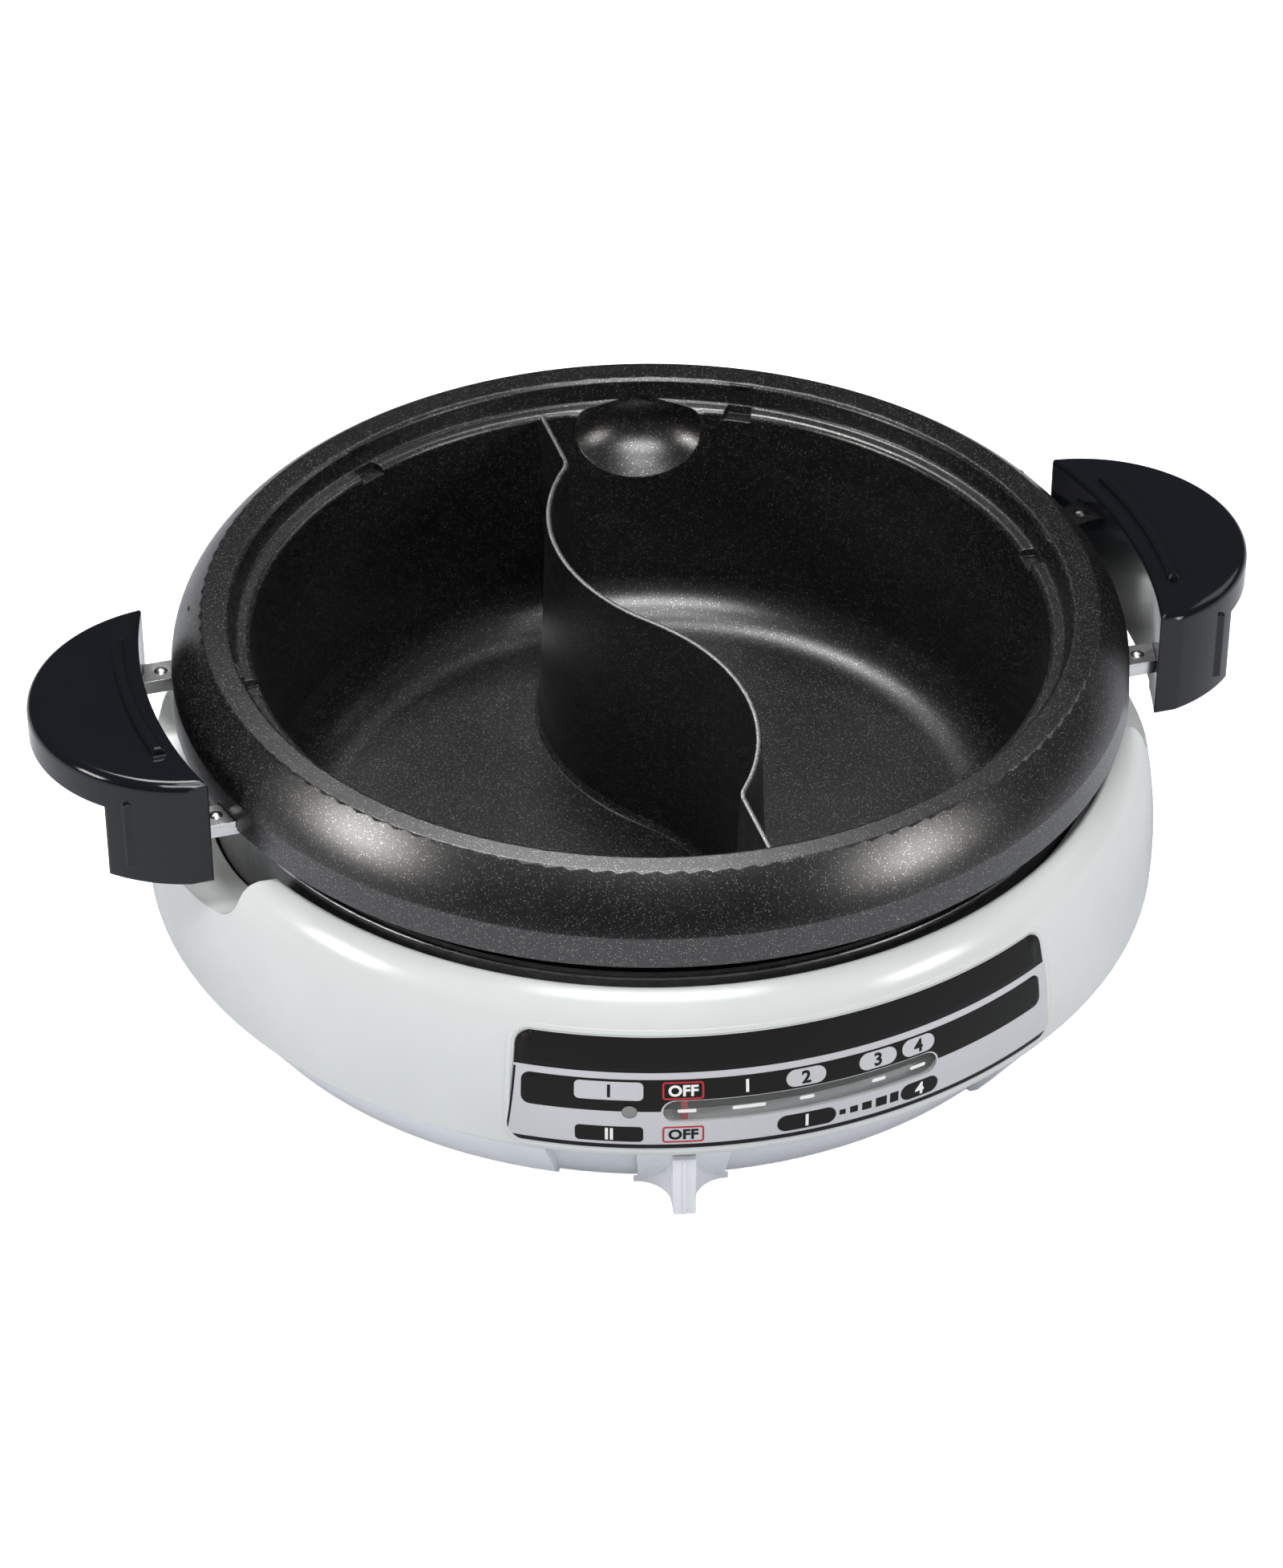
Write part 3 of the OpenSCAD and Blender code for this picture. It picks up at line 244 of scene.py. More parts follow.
@group("Handling marks", {"Roughness": 0.3, "Smear": 0.1, "Dust": 0.05}, "Roughness", "Dust")
def handling_marks(tree, takes, gives):
    """Roughness with wiped smears and finger marks, and a thin dust on faces that look up."""
    where = object_place(tree)
    swirl = noise(tree, where, 16.0, 5.0, Roughness=0.6, Distortion=1.2)
    spots = node(
        tree, "ShaderNodeTexVoronoi", {"Vector": where, "Scale": 60.0}, feature="SMOOTH_F1"
    ).outputs["Distance"]
    smear = maths(tree, "MULTIPLY", spread(tree, swirl, 0.42, 0.68), takes["Smear"])
    finger = maths(tree, "MULTIPLY", spread(tree, spots, 0.12, 0.45, 0.35, 0.0), takes["Smear"])
    rough = maths(tree, "ADD", maths(tree, "ADD", takes["Roughness"], smear), finger)
    up = node(
        tree, "ShaderNodeSeparateXYZ", {0: node(tree, "ShaderNodeNewGeometry").outputs["Normal"]}
    ).outputs["Z"]
    motes = noise(tree, where, 420.0, 2.0)
    dust = maths(tree, "MULTIPLY", spread(tree, up, 0.55, 1.0), spread(tree, motes, 0.5, 0.75))
    dust = maths(tree, "MULTIPLY", dust, takes["Dust"])
    tree.links.new(maths(tree, "ADD", rough, dust, clamp=True), gives["Roughness"])
    tree.links.new(dust, gives["Dust"])


@group("Edge wear", {"Amount": 0.5}, "Mask")
def edge_wear(tree, takes, gives):
    """Where edges have been rubbed bright or pale."""
    point = node(tree, "ShaderNodeNewGeometry").outputs["Pointiness"]
    ragged = noise(tree, object_place(tree), 240.0, 4.0)
    mask = maths(tree, "MULTIPLY", spread(tree, point, 0.53, 0.62), ragged)
    tree.links.new(maths(tree, "MULTIPLY", mask, takes["Amount"], clamp=True), gives["Mask"])


@group(
    "Metal fleck",
    {"Ground": (0.02, 0.02, 0.02), "Fleck": (0.4, 0.35, 0.3), "Size": 0.7, "Density": 0.3},
    "Colour", "Mask", "Height",
)
def metal_fleck(tree, takes, gives):
    """Non-stick coating: a matt ground with fine metallic flecks of two sizes."""
    where = object_place(tree)
    scale = maths(tree, "DIVIDE", 1000.0, takes["Size"])
    masks, heights = [], []
    for ratio, level in ((1.0, 1.0), (1.9, 0.75)):
        cells = node(
            tree,
            "ShaderNodeTexVoronoi",
            {"Vector": where, "Scale": maths(tree, "MULTIPLY", scale, ratio)},
        )
        pick = node(tree, "ShaderNodeSeparateColor", {0: cells.outputs["Color"]}).outputs[0]
        limit = maths(tree, "SUBTRACT", 1.0, takes["Density"])
        chosen = maths(tree, "GREATER_THAN", pick, limit)
        spot = spread(tree, cells.outputs["Distance"], 0.18, 0.5, level, 0.0)
        masks.append(maths(tree, "MULTIPLY", chosen, spot))
        heights.append(cells.outputs["Distance"])
    mask = maths(tree, "MAXIMUM", masks[0], masks[1])
    colour_here = mixed(tree, mask, takes["Ground"], takes["Fleck"])
    tree.links.new(colour_here, gives["Colour"])
    tree.links.new(mask, gives["Mask"])
    tree.links.new(maths(tree, "ADD", heights[0], heights[1]), gives["Height"])


@group(
    "Brushed lines",
    {"Along X": 1.0, "Along Y": 0.02, "Along Z": 1.0, "Scale": 2500.0},
    "Height", "Tone",
)
def brushed_lines(tree, takes, gives):
    """Fine drawn lines along X, Y or Z."""
    along = {0: takes["Along X"], 1: takes["Along Y"], 2: takes["Along Z"]}
    stretch = node(tree, "ShaderNodeCombineXYZ", along).outputs[0]
    where = node(
        tree, "ShaderNodeMapping", {"Vector": object_place(tree), "Scale": stretch}
    ).outputs[0]
    lines = noise(tree, where, takes["Scale"], 4.0, Roughness=0.7)
    tree.links.new(lines, gives["Height"])
    tree.links.new(spread(tree, lines, 0.3, 0.7, 0.8, 1.05), gives["Tone"])


# ---- Materials -------------------------------------------------------------

DUST = (0.45, 0.44, 0.42)
FLECK_METAL = 0.9  # how metallic a fleck is


def tinted(tree, base, tone):
    """base, darkened by a tone of 0 to 1 that changes over the surface."""
    grey = node(tree, "ShaderNodeCombineColor", {0: tone, 1: tone, 2: tone}).outputs[0]
    return mixed(tree, 1.0, base, grey, blend_type="MULTIPLY")


def faded(tree, base, other, mask):
    """base, covered by another colour where the mask is 1."""
    return mixed(tree, mask, base, (*other, 1.0))


def finish(
    name, base, roughness, metallic=0.0, grain=0.8, bump=0.02, wave=0.3, smear=0.08, dust=0.04,
    wear=0.0, wear_colour=(0.8, 0.8, 0.8), edge=0.0004, lines=None, fleck=None, **shader,
):
    """A material from the shared groups; what is the same all over goes to its shader's sockets.

    grain and the fleck's Size are in millimetres, bump in thousandths of one, edge in metres.
    """
    found = bpy.data.materials.get(name)
    if found:
        return found
    made = bpy.data.materials.new(name)
    made.use_nodes = True
    tree = made.node_tree
    tree.nodes.clear()
    out = tree.nodes.new("ShaderNodeOutputMaterial")
    bsdf = tree.nodes.new("ShaderNodeBsdfPrincipled")
    tree.links.new(bsdf.outputs[0], out.inputs[0])
    grains = place(tree, "Moulding grain", Size=grain, Wave=wave)
    height = grains.outputs["Height"]
    tint = (*base, 1.0)
    if fleck:
        flecks = place(tree, "Metal fleck", Ground=base, **fleck)
        tint = flecks.outputs["Colour"]
        height = maths(tree, "ADD", height, flecks.outputs["Height"])
        shine = maths(tree, "MULTIPLY", flecks.outputs["Mask"], FLECK_METAL)
        tree.links.new(maths(tree, "ADD", shine, metallic, clamp=True), bsdf.inputs["Metallic"])
    else:
        bsdf.inputs["Metallic"].default_value = metallic
    tint = tinted(tree, tint, grains.outputs["Tone"])
    if lines:
        brush = place(tree, "Brushed lines", **lines)
        tint = tinted(tree, tint, brush.outputs["Tone"])
        height = maths(tree, "ADD", height, brush.outputs["Height"])
    marks = place(tree, "Handling marks", Roughness=roughness, Smear=smear, Dust=dust)
    tint = faded(tree, tint, DUST, marks.outputs["Dust"])
    if wear:
        rubbed = place(tree, "Edge wear", Amount=wear).outputs["Mask"]
        tint = faded(tree, tint, wear_colour, rubbed)
    tree.links.new(tint, bsdf.inputs["Base Color"])
    tree.links.new(marks.outputs["Roughness"], bsdf.inputs["Roughness"])
    skin = node(tree, "ShaderNodeBump", {"Height": height, "Strength": 1.0, "Distance": bump * MM})
    if edge:
        soft = node(tree, "ShaderNodeBevel", {"Radius": edge}, samples=4)
        tree.links.new(soft.outputs[0], skin.inputs["Normal"])
    tree.links.new(skin.outputs[0], bsdf.inputs["Normal"])
    for key, value in shader.items():
        bsdf.inputs[key.replace("_", " ")].default_value = value
    return made


def finishes():
    """Every finish of the pot, by name."""
    c = colours()
    steel = {"Along_X": 0.03, "Along_Y": 1.0, "Along_Z": 1.0, "Scale": 1800.0}
    return {
        "coating": lambda: finish(
            "Non-stick coating", c.coating, 0.29, grain=0.8, bump=0.010, smear=0.02, dust=0.006,
            fleck={"Fleck": c.flake, "Size": 0.46, "Density": 0.10}, edge=0.0009,
            Specular_IOR_Level=0.9,
        ),
        "handle": lambda: finish(
            "Black phenolic", c.handle, 0.085, grain=6.0, bump=0.006, wave=0.8, smear=0.02,
            dust=0.0, edge=0.0011, Specular_IOR_Level=0.38,
        ),
        "steel": lambda: finish(
            "Brushed steel", (0.60, 0.60, 0.60), 0.26, metallic=1.0, lines=steel, bump=0.01,
            wear=0.5, edge=0.0002,
        ),
        "bright steel": lambda: finish(
            "Bright zinc plate", (0.66, 0.66, 0.66), 0.22, metallic=1.0, grain=1.5, bump=0.008,
            smear=0.12, wear=0.6, edge=0.0002,
        ),
        "housing": lambda: finish(
            "Housing plastic", c.housing, 0.20, grain=0.9, bump=0.003, wave=1.2, smear=0.02,
            dust=0.02, edge=0.0006,
        ),
        "cover": lambda: finish(
            "Cover plastic", c.cover, 0.32, grain=0.7, bump=0.008, smear=0.05, dust=0.02,
            edge=0.0005,
        ),
        "lever": lambda: finish(
            "Lever plastic", c.cover, 0.26, grain=0.7, bump=0.004, smear=0.04, edge=0.0003,
        ),
        "panel": lambda: finish(
            "Panel film", c.panel, 0.34, metallic=0.05, grain=0.35, bump=0.006, wave=0.1,
            smear=0.04, fleck={"Fleck": (0.64, 0.635, 0.66), "Size": 0.4, "Density": 0.15},
            edge=0.0001,
        ),
        "ink black": lambda: finish(
            "Black print", c.ink_black, 0.38, grain=0.5, bump=0.003, smear=0.04, dust=0.005,
            edge=0.0, Specular_IOR_Level=0.12,
        ),
        "ink red": lambda: finish("Red print", c.ink_red, 0.35, grain=0.5, bump=0.002, edge=0.0),
        "ink white": lambda: finish(
            "White print", c.ink_white, 0.4, grain=0.5, bump=0.002, edge=0.0
        ),
        "ink silver": lambda: finish(
            "Silver print", c.panel, 0.34, metallic=0.05, grain=0.35, bump=0.004, edge=0.0
        ),
        "pointer": lambda: finish("Pointer red", c.pointer, 0.35, grain=0.6, bump=0.004),
        "lens": lambda: finish(
            "Smoked lens", (0.30, 0.30, 0.29), 0.16, grain=1.0, bump=0.004, smear=0.05,
            Transmission_Weight=0.25, IOR=1.49,
        ),
        "window": lambda: finish(
            "Window acrylic", (0.50, 0.52, 0.50), 0.08, grain=3.0, bump=0.002, smear=0.05,
            dust=0.0, edge=0.0, Alpha=0.11, Specular_IOR_Level=0.35,
        ),
        # Painted shade: a dark colour that stands for the shadow inside the slot behind the
        # window.
        "recess": lambda: finish(
            "Dark recess", (0.035, 0.036, 0.034), 0.5, grain=0.8, bump=0.004, edge=0.0
        ),
        "guard": lambda: finish(
            "Guard paint", (0.035, 0.036, 0.036), 0.38, grain=0.6, bump=0.012, wear=0.4,
            wear_colour=(0.3, 0.3, 0.3),
        ),
        "reflector": lambda: finish(
            "Rolled aluminium", (0.74, 0.74, 0.76), 0.24, metallic=1.0, grain=2.0, bump=0.02,
            wave=2.0, smear=0.15, lines={**steel, "Scale": 900.0},
        ),
        "sheath": lambda: finish(
            "Heater sheath", (0.10, 0.085, 0.075), 0.5, metallic=0.7, grain=1.2, bump=0.02,
            smear=0.2, fleck={"Fleck": (0.25, 0.18, 0.13), "Size": 2.2, "Density": 0.35},
        ),
        "ceramic": lambda: finish(
            "Unglazed ceramic", (0.74, 0.70, 0.60), 0.7, grain=0.5, bump=0.04, smear=0.1, dust=0.1
        ),
        "spring": lambda: finish(
            "Spring wire", (0.5, 0.5, 0.52), 0.28, metallic=1.0, grain=0.6, bump=0.004, edge=0.0
        ),
        "brass": lambda: finish(
            "Turned brass", (0.70, 0.53, 0.26), 0.25, metallic=1.0, grain=0.8, bump=0.006,
            lines={"Along_X": 0.05, "Along_Y": 0.05, "Along_Z": 1.0, "Scale": 2200.0},
        ),
        "inlet": lambda: finish(
            "Inlet moulding", (0.017, 0.017, 0.017), 0.42, grain=0.5, bump=0.012, dust=0.1
        ),
        "pin": lambda: finish(
            "Nickelled pins", (0.70, 0.66, 0.56), 0.2, metallic=1.0, grain=0.8, bump=0.004,
            wear=0.7, wear_colour=(0.75, 0.55, 0.28),
        ),
        "rubber": lambda: finish(
            "Foot rubber", (0.030, 0.030, 0.031), 0.75, grain=0.4, bump=0.03, smear=0.05, dust=0.2
        ),
        "neon": lambda: finish(
            "Neon glass", (0.75, 0.42, 0.28), 0.08, grain=2.0, bump=0.002, Transmission_Weight=0.6
        ),
    }


# ---- Mesh helpers ----------------------------------------------------------


def as_mesh(name, bm):
    """A mesh in place of a bmesh."""
    mesh = bpy.data.meshes.new(name)
    bm.to_mesh(mesh)
    bm.free()
    return mesh


def added(name, data):
    """A new object with this data, in the scene."""
    made = bpy.data.objects.new(name, data)
    bpy.context.scene.collection.objects.link(made)
    return made


def everything(bm):
    return bm.verts[:] + bm.edges[:] + bm.faces[:]


def new_piece(name, bm, material, body, slot=None, crease=35.0):
    """Turns a bmesh into a finished piece that rides on a body."""
    mesh = as_mesh(name, bm)
    for polygon in mesh.polygons:
        polygon.use_smooth = True
    mesh.set_sharp_from_angle(angle=math.radians(crease))
    mesh.materials.append(finishes()[material]())
    piece = added(name, mesh)
    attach(piece, body)
    return piece


def body_holding(part):
    groups = frame["record"]["behaviour"]["bodies"]
    return next(body for body, parts in groups.items() if part in parts)


def slot_of(part):
    return next(s["material_slot"] for s in frame["record"]["subparts"] if s["node"] == part)


def exact_normals(source, mesh):
    """The part's own normal at each corner of its merged copy."""
    normals = np.zeros(len(source.loops) * 3, np.float32)
    source.corner_normals.foreach_get("vector", normals)
    normals = normals.reshape(-1, 3)
    exact = [None] * len(mesh.loops)
    for polygon, origin in zip(mesh.polygons, mesh.attributes["source"].data):
        start = source.polygons[origin.value].loop_start
        theirs = [source.vertices[source.loops[start + i].vertex_index].co for i in range(3)]
        for corner in polygon.loop_indices:
            here = mesh.vertices[mesh.loops[corner].vertex_index].co
            near = min(range(3), key=lambda i: (theirs[i] - here).length_squared)
            exact[corner] = Vector(normals[start + near])
    return exact


def shell(part, material, bend=None, soft=22.0):
    """A merged copy of a part, which stands for it.

    Its normals are the part's own, run together where two faces meet within soft degrees.
    bend may then turn the normal at a corner, to sharpen how the surface takes the light.
    """
    source = frame["nodes"][part].data
    bm = bmesh.new()
    bm.from_mesh(source)
    mark = bm.faces.layers.int.new("source")
    for face in bm.faces:
        face[mark] = face.index
    bmesh.ops.remove_doubles(bm, verts=bm.verts, dist=WELD)
    piece = new_piece(f"{part}_finished", bm, material, body_holding(part), slot_of(part))
    mesh = piece.data
    exact = exact_normals(source, mesh)
    areas, centres, meeting = {}, {}, {}
    for polygon in mesh.polygons:
        for corner in polygon.loop_indices:
            areas[corner], centres[corner] = polygon.area, polygon.center
            meeting.setdefault(mesh.loops[corner].vertex_index, []).append(corner)
    limit = math.cos(math.radians(soft))
    smooth = list(exact)
    for vertex, corners in meeting.items():
        for corner in corners:
            mine = exact[corner]
            total = Vector()
            for other in corners:
                if mine.dot(exact[other]) > limit:
                    total += exact[other] * areas[other]
            if total.length > 1e-12:
                smooth[corner] = total.normalized()
            if bend:
                place_at = mesh.vertices[vertex].co
                smooth[corner] = bend(place_at, smooth[corner], centres[corner])
    mesh.normals_split_custom_set(smooth)
    mesh.attributes.remove(mesh.attributes["source"])
    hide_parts(part)
    return piece


def dress(materials):
    """Gives each part named a shell in its material."""
    for part, material in materials.items():
        shell(part, material)


def turned(name, outline, material, body, slot=None, half=180.0, steps=192):
    """An outline of radius and height, in millimetres, turned about the upright axis.

    half is how far it reaches each way from the front, in degrees: 180 makes a ring.
    """
    bm = bmesh.new()
    start = math.radians(PANEL_AZ - half)
    x, y = math.cos(start), math.sin(start)
    points = [bm.verts.new((r * MM * x, r * MM * y, z * MM)) for r, z in outline]
    edges = [bm.edges.new(pair) for pair in zip(points, points[1:] + points[:1])]
    bmesh.ops.spin(
        bm, geom=points + edges, cent=(0, 0, 0), axis=(0, 0, 1), angle=math.radians(2 * half),
        steps=steps, use_merge=half == 180.0,
    )
    bmesh.ops.holes_fill(bm, edges=[e for e in bm.edges if e.is_boundary], sides=0)
    bmesh.ops.recalc_face_normals(bm, faces=bm.faces)
    return new_piece(name, bm, material, body, slot)


# ---- The panel's curved face -------------------------------------------------


def circle_near(points):
    """Centre and radius of the circle that best fits points in a plane."""
    a = np.array([(x, y, 1.0) for x, y in points])
    b = np.array([x * x + y * y for x, y in points])
    cx, cy, rest = np.linalg.lstsq(a, b, rcond=None)[0]
    cx, cy = cx / 2, cy / 2
    return cx, cy, math.sqrt(rest + cx * cx + cy * cy)


class CurvedFace:
    """The bulging outer face of the base: places a flat drawing on it.

    A drawing's x is the distance along the face from the middle of the panel, its y is the
    height above the table and its z is the height over the face.
    """

    RING = 0.0015  # the heights that count as one ring of corners

    def __init__(self, part):
        low, high = FACE_HEIGHTS
        rings = {}
        for v in frame["nodes"][part].data.vertices:
            if low < v.co.z < high:
                level = round(v.co.z / self.RING)
                rings[level] = max(rings.get(level, (0, 0)), (v.co.xy.length, v.co.z))
        self.cx, self.cz, self.radius = circle_near(rings.values())
        self.reach = max(r for r, _ in rings.values())

    def point(self, x, z, lift):
        out = self.cx + math.sqrt(self.radius**2 - (z - self.cz) ** 2)
        turn = math.radians(PANEL_AZ) + x / self.reach
        tilt_r, tilt_z = (out - self.cx) / self.radius, (z - self.cz) / self.radius
        r = out + tilt_r * lift
        return Vector((r * math.cos(turn), r * math.sin(turn), z + tilt_z * lift))

    def along(self, degrees):
        return math.radians(degrees) * self.reach

    def wrap(self, bm, step=0.002):
        """Slices a flat drawing along and across, and lays it on the face."""
        for axis, away in enumerate((Vector((1, 0, 0)), Vector((0, 1, 0)))):
            places = [v.co[axis] for v in bm.verts]
            cut = math.floor(min(places) / step) * step + step
            while cut < max(places):
                bmesh.ops.bisect_plane(
                    bm, geom=everything(bm), dist=TINY, plane_co=away * cut, plane_no=away
                )
                cut += step
        for v in bm.verts:
            v.co = self.point(*v.co)
        return bm


def raised(bm):
    """Gives a sheet a second side, and returns that side's corners."""
    made = bmesh.ops.extrude_face_region(bm, geom=bm.faces[:])["geom"]
    return [item for item in made if isinstance(item, bmesh.types.BMVert)]


def rounded_plate(x, y, width, height, corner, thick, base, rim=0.0):
    """A flat plate with round corners, or only its rim, from the level base upwards."""
    bm = bmesh.new()
    bmesh.ops.create_grid(bm, x_segments=1, y_segments=1, size=0.5)
    bmesh.ops.scale(bm, vec=(width, height, 1), verts=bm.verts)
    bmesh.ops.bevel(
        bm, geom=bm.verts[:], offset=min(corner, 0.499 * min(width, height)), segments=8,
        profile=0.5, affect="VERTICES", material=-1, offset_type="OFFSET",
    )
    if rim:
        ring = set(bmesh.ops.inset_individual(bm, faces=bm.faces[:], thickness=rim)["faces"])
        centre = [f for f in bm.faces if f not in ring]
        bmesh.ops.delete(bm, geom=centre, context="FACES")
    bmesh.ops.translate(bm, vec=(0, 0, thick), verts=raised(bm))
    bmesh.ops.recalc_face_normals(bm, faces=bm.faces)
    bmesh.ops.translate(bm, vec=(x, y, base), verts=bm.verts)
    return bm


def evaluated(item):
    """An object's final shape as a bmesh."""
    bpy.context.view_layer.update()
    graph = bpy.context.evaluated_depsgraph_get()
    mesh = bpy.data.meshes.new_from_object(item.evaluated_get(graph))
    bm = bmesh.new()
    bm.from_mesh(mesh)
    bpy.data.meshes.remove(mesh)
    return bm


CAPITAL = 0.72  # height of a capital in a font of size 1
BOLD = 0.0002  # how far the letters' outlines are widened


def lettering(text, x, y, height, thick, base):
    """Flat letters as a thin solid, centred on x and y."""
    curve = bpy.data.curves.new("letters", "FONT")
    curve.body = text
    curve.align_x = "CENTER"
    curve.align_y = "CENTER"
    curve.size = height / CAPITAL
    curve.extrude = thick / 2
    curve.offset = BOLD
    curve.resolution_u = 3
    holder = added("letters", curve)
    bm = evaluated(holder)
    bpy.data.objects.remove(holder)
    bmesh.ops.remove_doubles(bm, verts=bm.verts, dist=TINY)
    ys = [v.co.y for v in bm.verts]
    bmesh.ops.translate(
        bm, vec=(x, y - (min(ys) + max(ys)) / 2, base + thick / 2), verts=bm.verts
    )
    return bm


def gathered(parts):
    """Several bmeshes as one."""
    whole = bmesh.new()
    for bm in parts:
        mesh = as_mesh("part", bm)
        whole.from_mesh(mesh)
        bpy.data.meshes.remove(mesh)
    return whole


def cut_out(bm, cutter):
    """bm less the solid cutter."""
    made = [added("cut", as_mesh("cut", item)) for item in (bm, cutter)]
    tool = made[0].modifiers.new("cut", "BOOLEAN")
    tool.operation = "DIFFERENCE"
    tool.solver = "EXACT"
    tool.object = made[1]
    result = evaluated(made[0])
    for item in made:
        spare = item.data
        bpy.data.objects.remove(item)
        bpy.data.meshes.remove(spare)
    return result


# ---- Operators -----------------------------------------------------------------


class HOTPOT_OT_pan(bpy.types.Operator):
    """Coat the divided pan"""

    bl_idname = "hotpot.pan"
    bl_label = "Divided pan"
    bl_options = {"REGISTER", "UNDO"}

    # How near a face or a corner lies to the divider's top, or to a ladle rest, to belong to it.
    LEVEL, NEAR = 0.0006, 0.0003
    DISH_STRETCH = 2.2  # the ladle rest takes the light as a sphere this much steeper
    TOP_ROUND, TOP_LEAN = 0.3, -0.17  # slopes of the divider's top, sideways and to the front
    LIP = (0.0128, 0.0222)  # how far in from the rim the lip's flat top lies
    LIP_TILT = 85.0  # slopes are in degrees, out of the level
    FLANGE_TILT = (39.5, 20.0)  # at the flange's upper edge and at its lower edge
    SKIRT_TILT = 3.0
    WIDTH = 0.0125  # of the flange
    DEPTHS = (0.0012, 0.021, 0.033)  # of the lip, the flange and the skirt, from the top

    def execute(self, context):
        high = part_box("pan")[1]
        self.top, self.rim = high.z, high.x
        self.dishes = [self.dish(turn) for turn in (DISH_AZ, DISH_AZ + 180)]
        shell("pan", "coating", bend=self.bend)
        return {"FINISHED"}

    def dish(self, turn):
        """Centre of the sphere of the ladle rest in this direction."""
        turn = math.radians(turn)
        centre = DISH_CENTRE * Vector((math.cos(turn), math.sin(turn), 0))
        centre.z = self.top - LEDGE - DISH_DROP
        return centre

    def bend(self, place_at, normal, centre):
        """The normal that takes the light as the real edges do, at a corner of a face."""
        drop = self.top - centre.z
        if centre.xy.length < WELL and abs(drop - LEDGE) < self.LEVEL and normal.z > 0.8:
            return Vector((normal.x * self.TOP_ROUND, self.TOP_LEAN, 1.0)).normalized()
        for middle in self.dishes:
            if abs((place_at - middle).length - DISH_R) < self.NEAR and abs(normal.z) < 0.9:
                return Vector((normal.x, normal.y, normal.z * self.DISH_STRETCH)).normalized()
        return self.flange(place_at, normal, drop, self.rim - centre.xy.length)

    def flange(self, place_at, normal, drop, inset):
        """Draws the lip, the flange and the skirt as shallow cones that meet in crisp edges."""
        outward = Vector((place_at.x, place_at.y, 0)).normalized()
        lip, flange, skirt = self.DEPTHS
        if drop < lip and self.LIP[0] < inset < self.LIP[1] and normal.z > 0.97:
            tilt = self.LIP_TILT
        elif inset > self.WIDTH or drop > skirt or normal.dot(outward) < 0.3:
            return normal
        elif drop > flange:
            tilt = self.SKIRT_TILT
        else:
            upper, lower = self.FLANGE_TILT
            tilt = upper + (lower - upper) * min(1.0, max(0.0, (self.top - place_at.z) / flange))
        tilt = math.radians(tilt)
        return outward * math.cos(tilt) + Vector((0, 0, math.sin(tilt)))


class HOTPOT_OT_handles(bpy.types.Operator):
    """Finish the two handles"""

    bl_idname = "hotpot.handles"
    bl_label = "Handles"
    bl_options = {"REGISTER", "UNDO"}

    def execute(self, context):
        dress({"handle_left": "handle", "handle_right": "handle"})
        return {"FINISHED"}


class HOTPOT_OT_brackets(bpy.types.Operator):
    """Finish the steel that joins the handles to the pan"""

    bl_idname = "hotpot.brackets"
    bl_label = "Brackets and fasteners"
    bl_options = {"REGISTER", "UNDO"}

    def execute(self, context):
        dress(dict.fromkeys(("handle_brackets", "handle_straps"), "steel"))
        fasteners = ("bracket_rivets", "handle_screws", "cover_screws", "reflector_screws")
        dress(dict.fromkeys(fasteners, "bright steel"))
        return {"FINISHED"}


class HOTPOT_OT_base(bpy.types.Operator):
    """Finish the housing, its cover and feet"""

    bl_idname = "hotpot.base"
    bl_label = "Base"
    bl_options = {"REGISTER", "UNDO"}

    WIRE_IN = 0.2  # how far inside the guard's rim the wire edge is centred, in millimetres
    SIDES = 8

    def execute(self, context):
        dress({"base_housing": "housing", "bottom_cover": "cover", "rubber_feet": "rubber"})
        wire = sizes().trim_wire / MM
        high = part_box("heat_guard")[1]
        middle, level = high.x / MM - self.WIRE_IN, high.z / MM
        turns = [math.tau * i / self.SIDES for i in range(self.SIDES)]
        ring = [(middle + wire * math.cos(a), level + wire * math.sin(a)) for a in turns]
        turned("guard_rim", ring, "reflector", "base", "reflector_bright")
        return {"FINISHED"}


class HOTPOT_OT_panel(bpy.types.Operator):
    """Finish the control panel, its window, lamp and border"""

    bl_idname = "hotpot.panel"
    bl_label = "Control panel"
    bl_options = {"REGISTER", "UNDO"}

    HALF = 31.6  # degrees from the panel's middle to its ends
    CORNER = 0.0085
    ROOT = 0.0004  # how far the border reaches into the housing
    ROUND = 0.8  # share of the border's height that its edges are rounded over

    def execute(self, context):
        dress({"control_panel": "panel", "slot_window": "window"})
        dress({"lamp_lens": "lens", "neon_lamp": "neon"})
        self.border()
        return {"FINISHED"}

    def border(self):
        """Low rounded border on the housing round the panel."""
        face = CurvedFace("base_housing")
        low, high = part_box("control_panel")
        s = sizes()
        half = face.along(self.HALF) + s.border_width
        plate = rounded_plate(
            0, (low.z + high.z) / 2, 2 * half, high.z - low.z + 2 * s.border_width, self.CORNER,
            s.border_height + self.ROOT, -self.ROOT, rim=s.border_width,
        )
        tops = [
            e for e in plate.edges
            if all(v.co.z > 0 for v in e.verts) and e.calc_face_angle(0) > 1
        ]
        bmesh.ops.bevel(
            plate, geom=tops, offset=s.border_height * self.ROUND, segments=3, profile=0.5,
            affect="EDGES", material=-1,
        )
        new_piece("panel_border", face.wrap(plate, 0.003), "housing", "base", "housing_white")


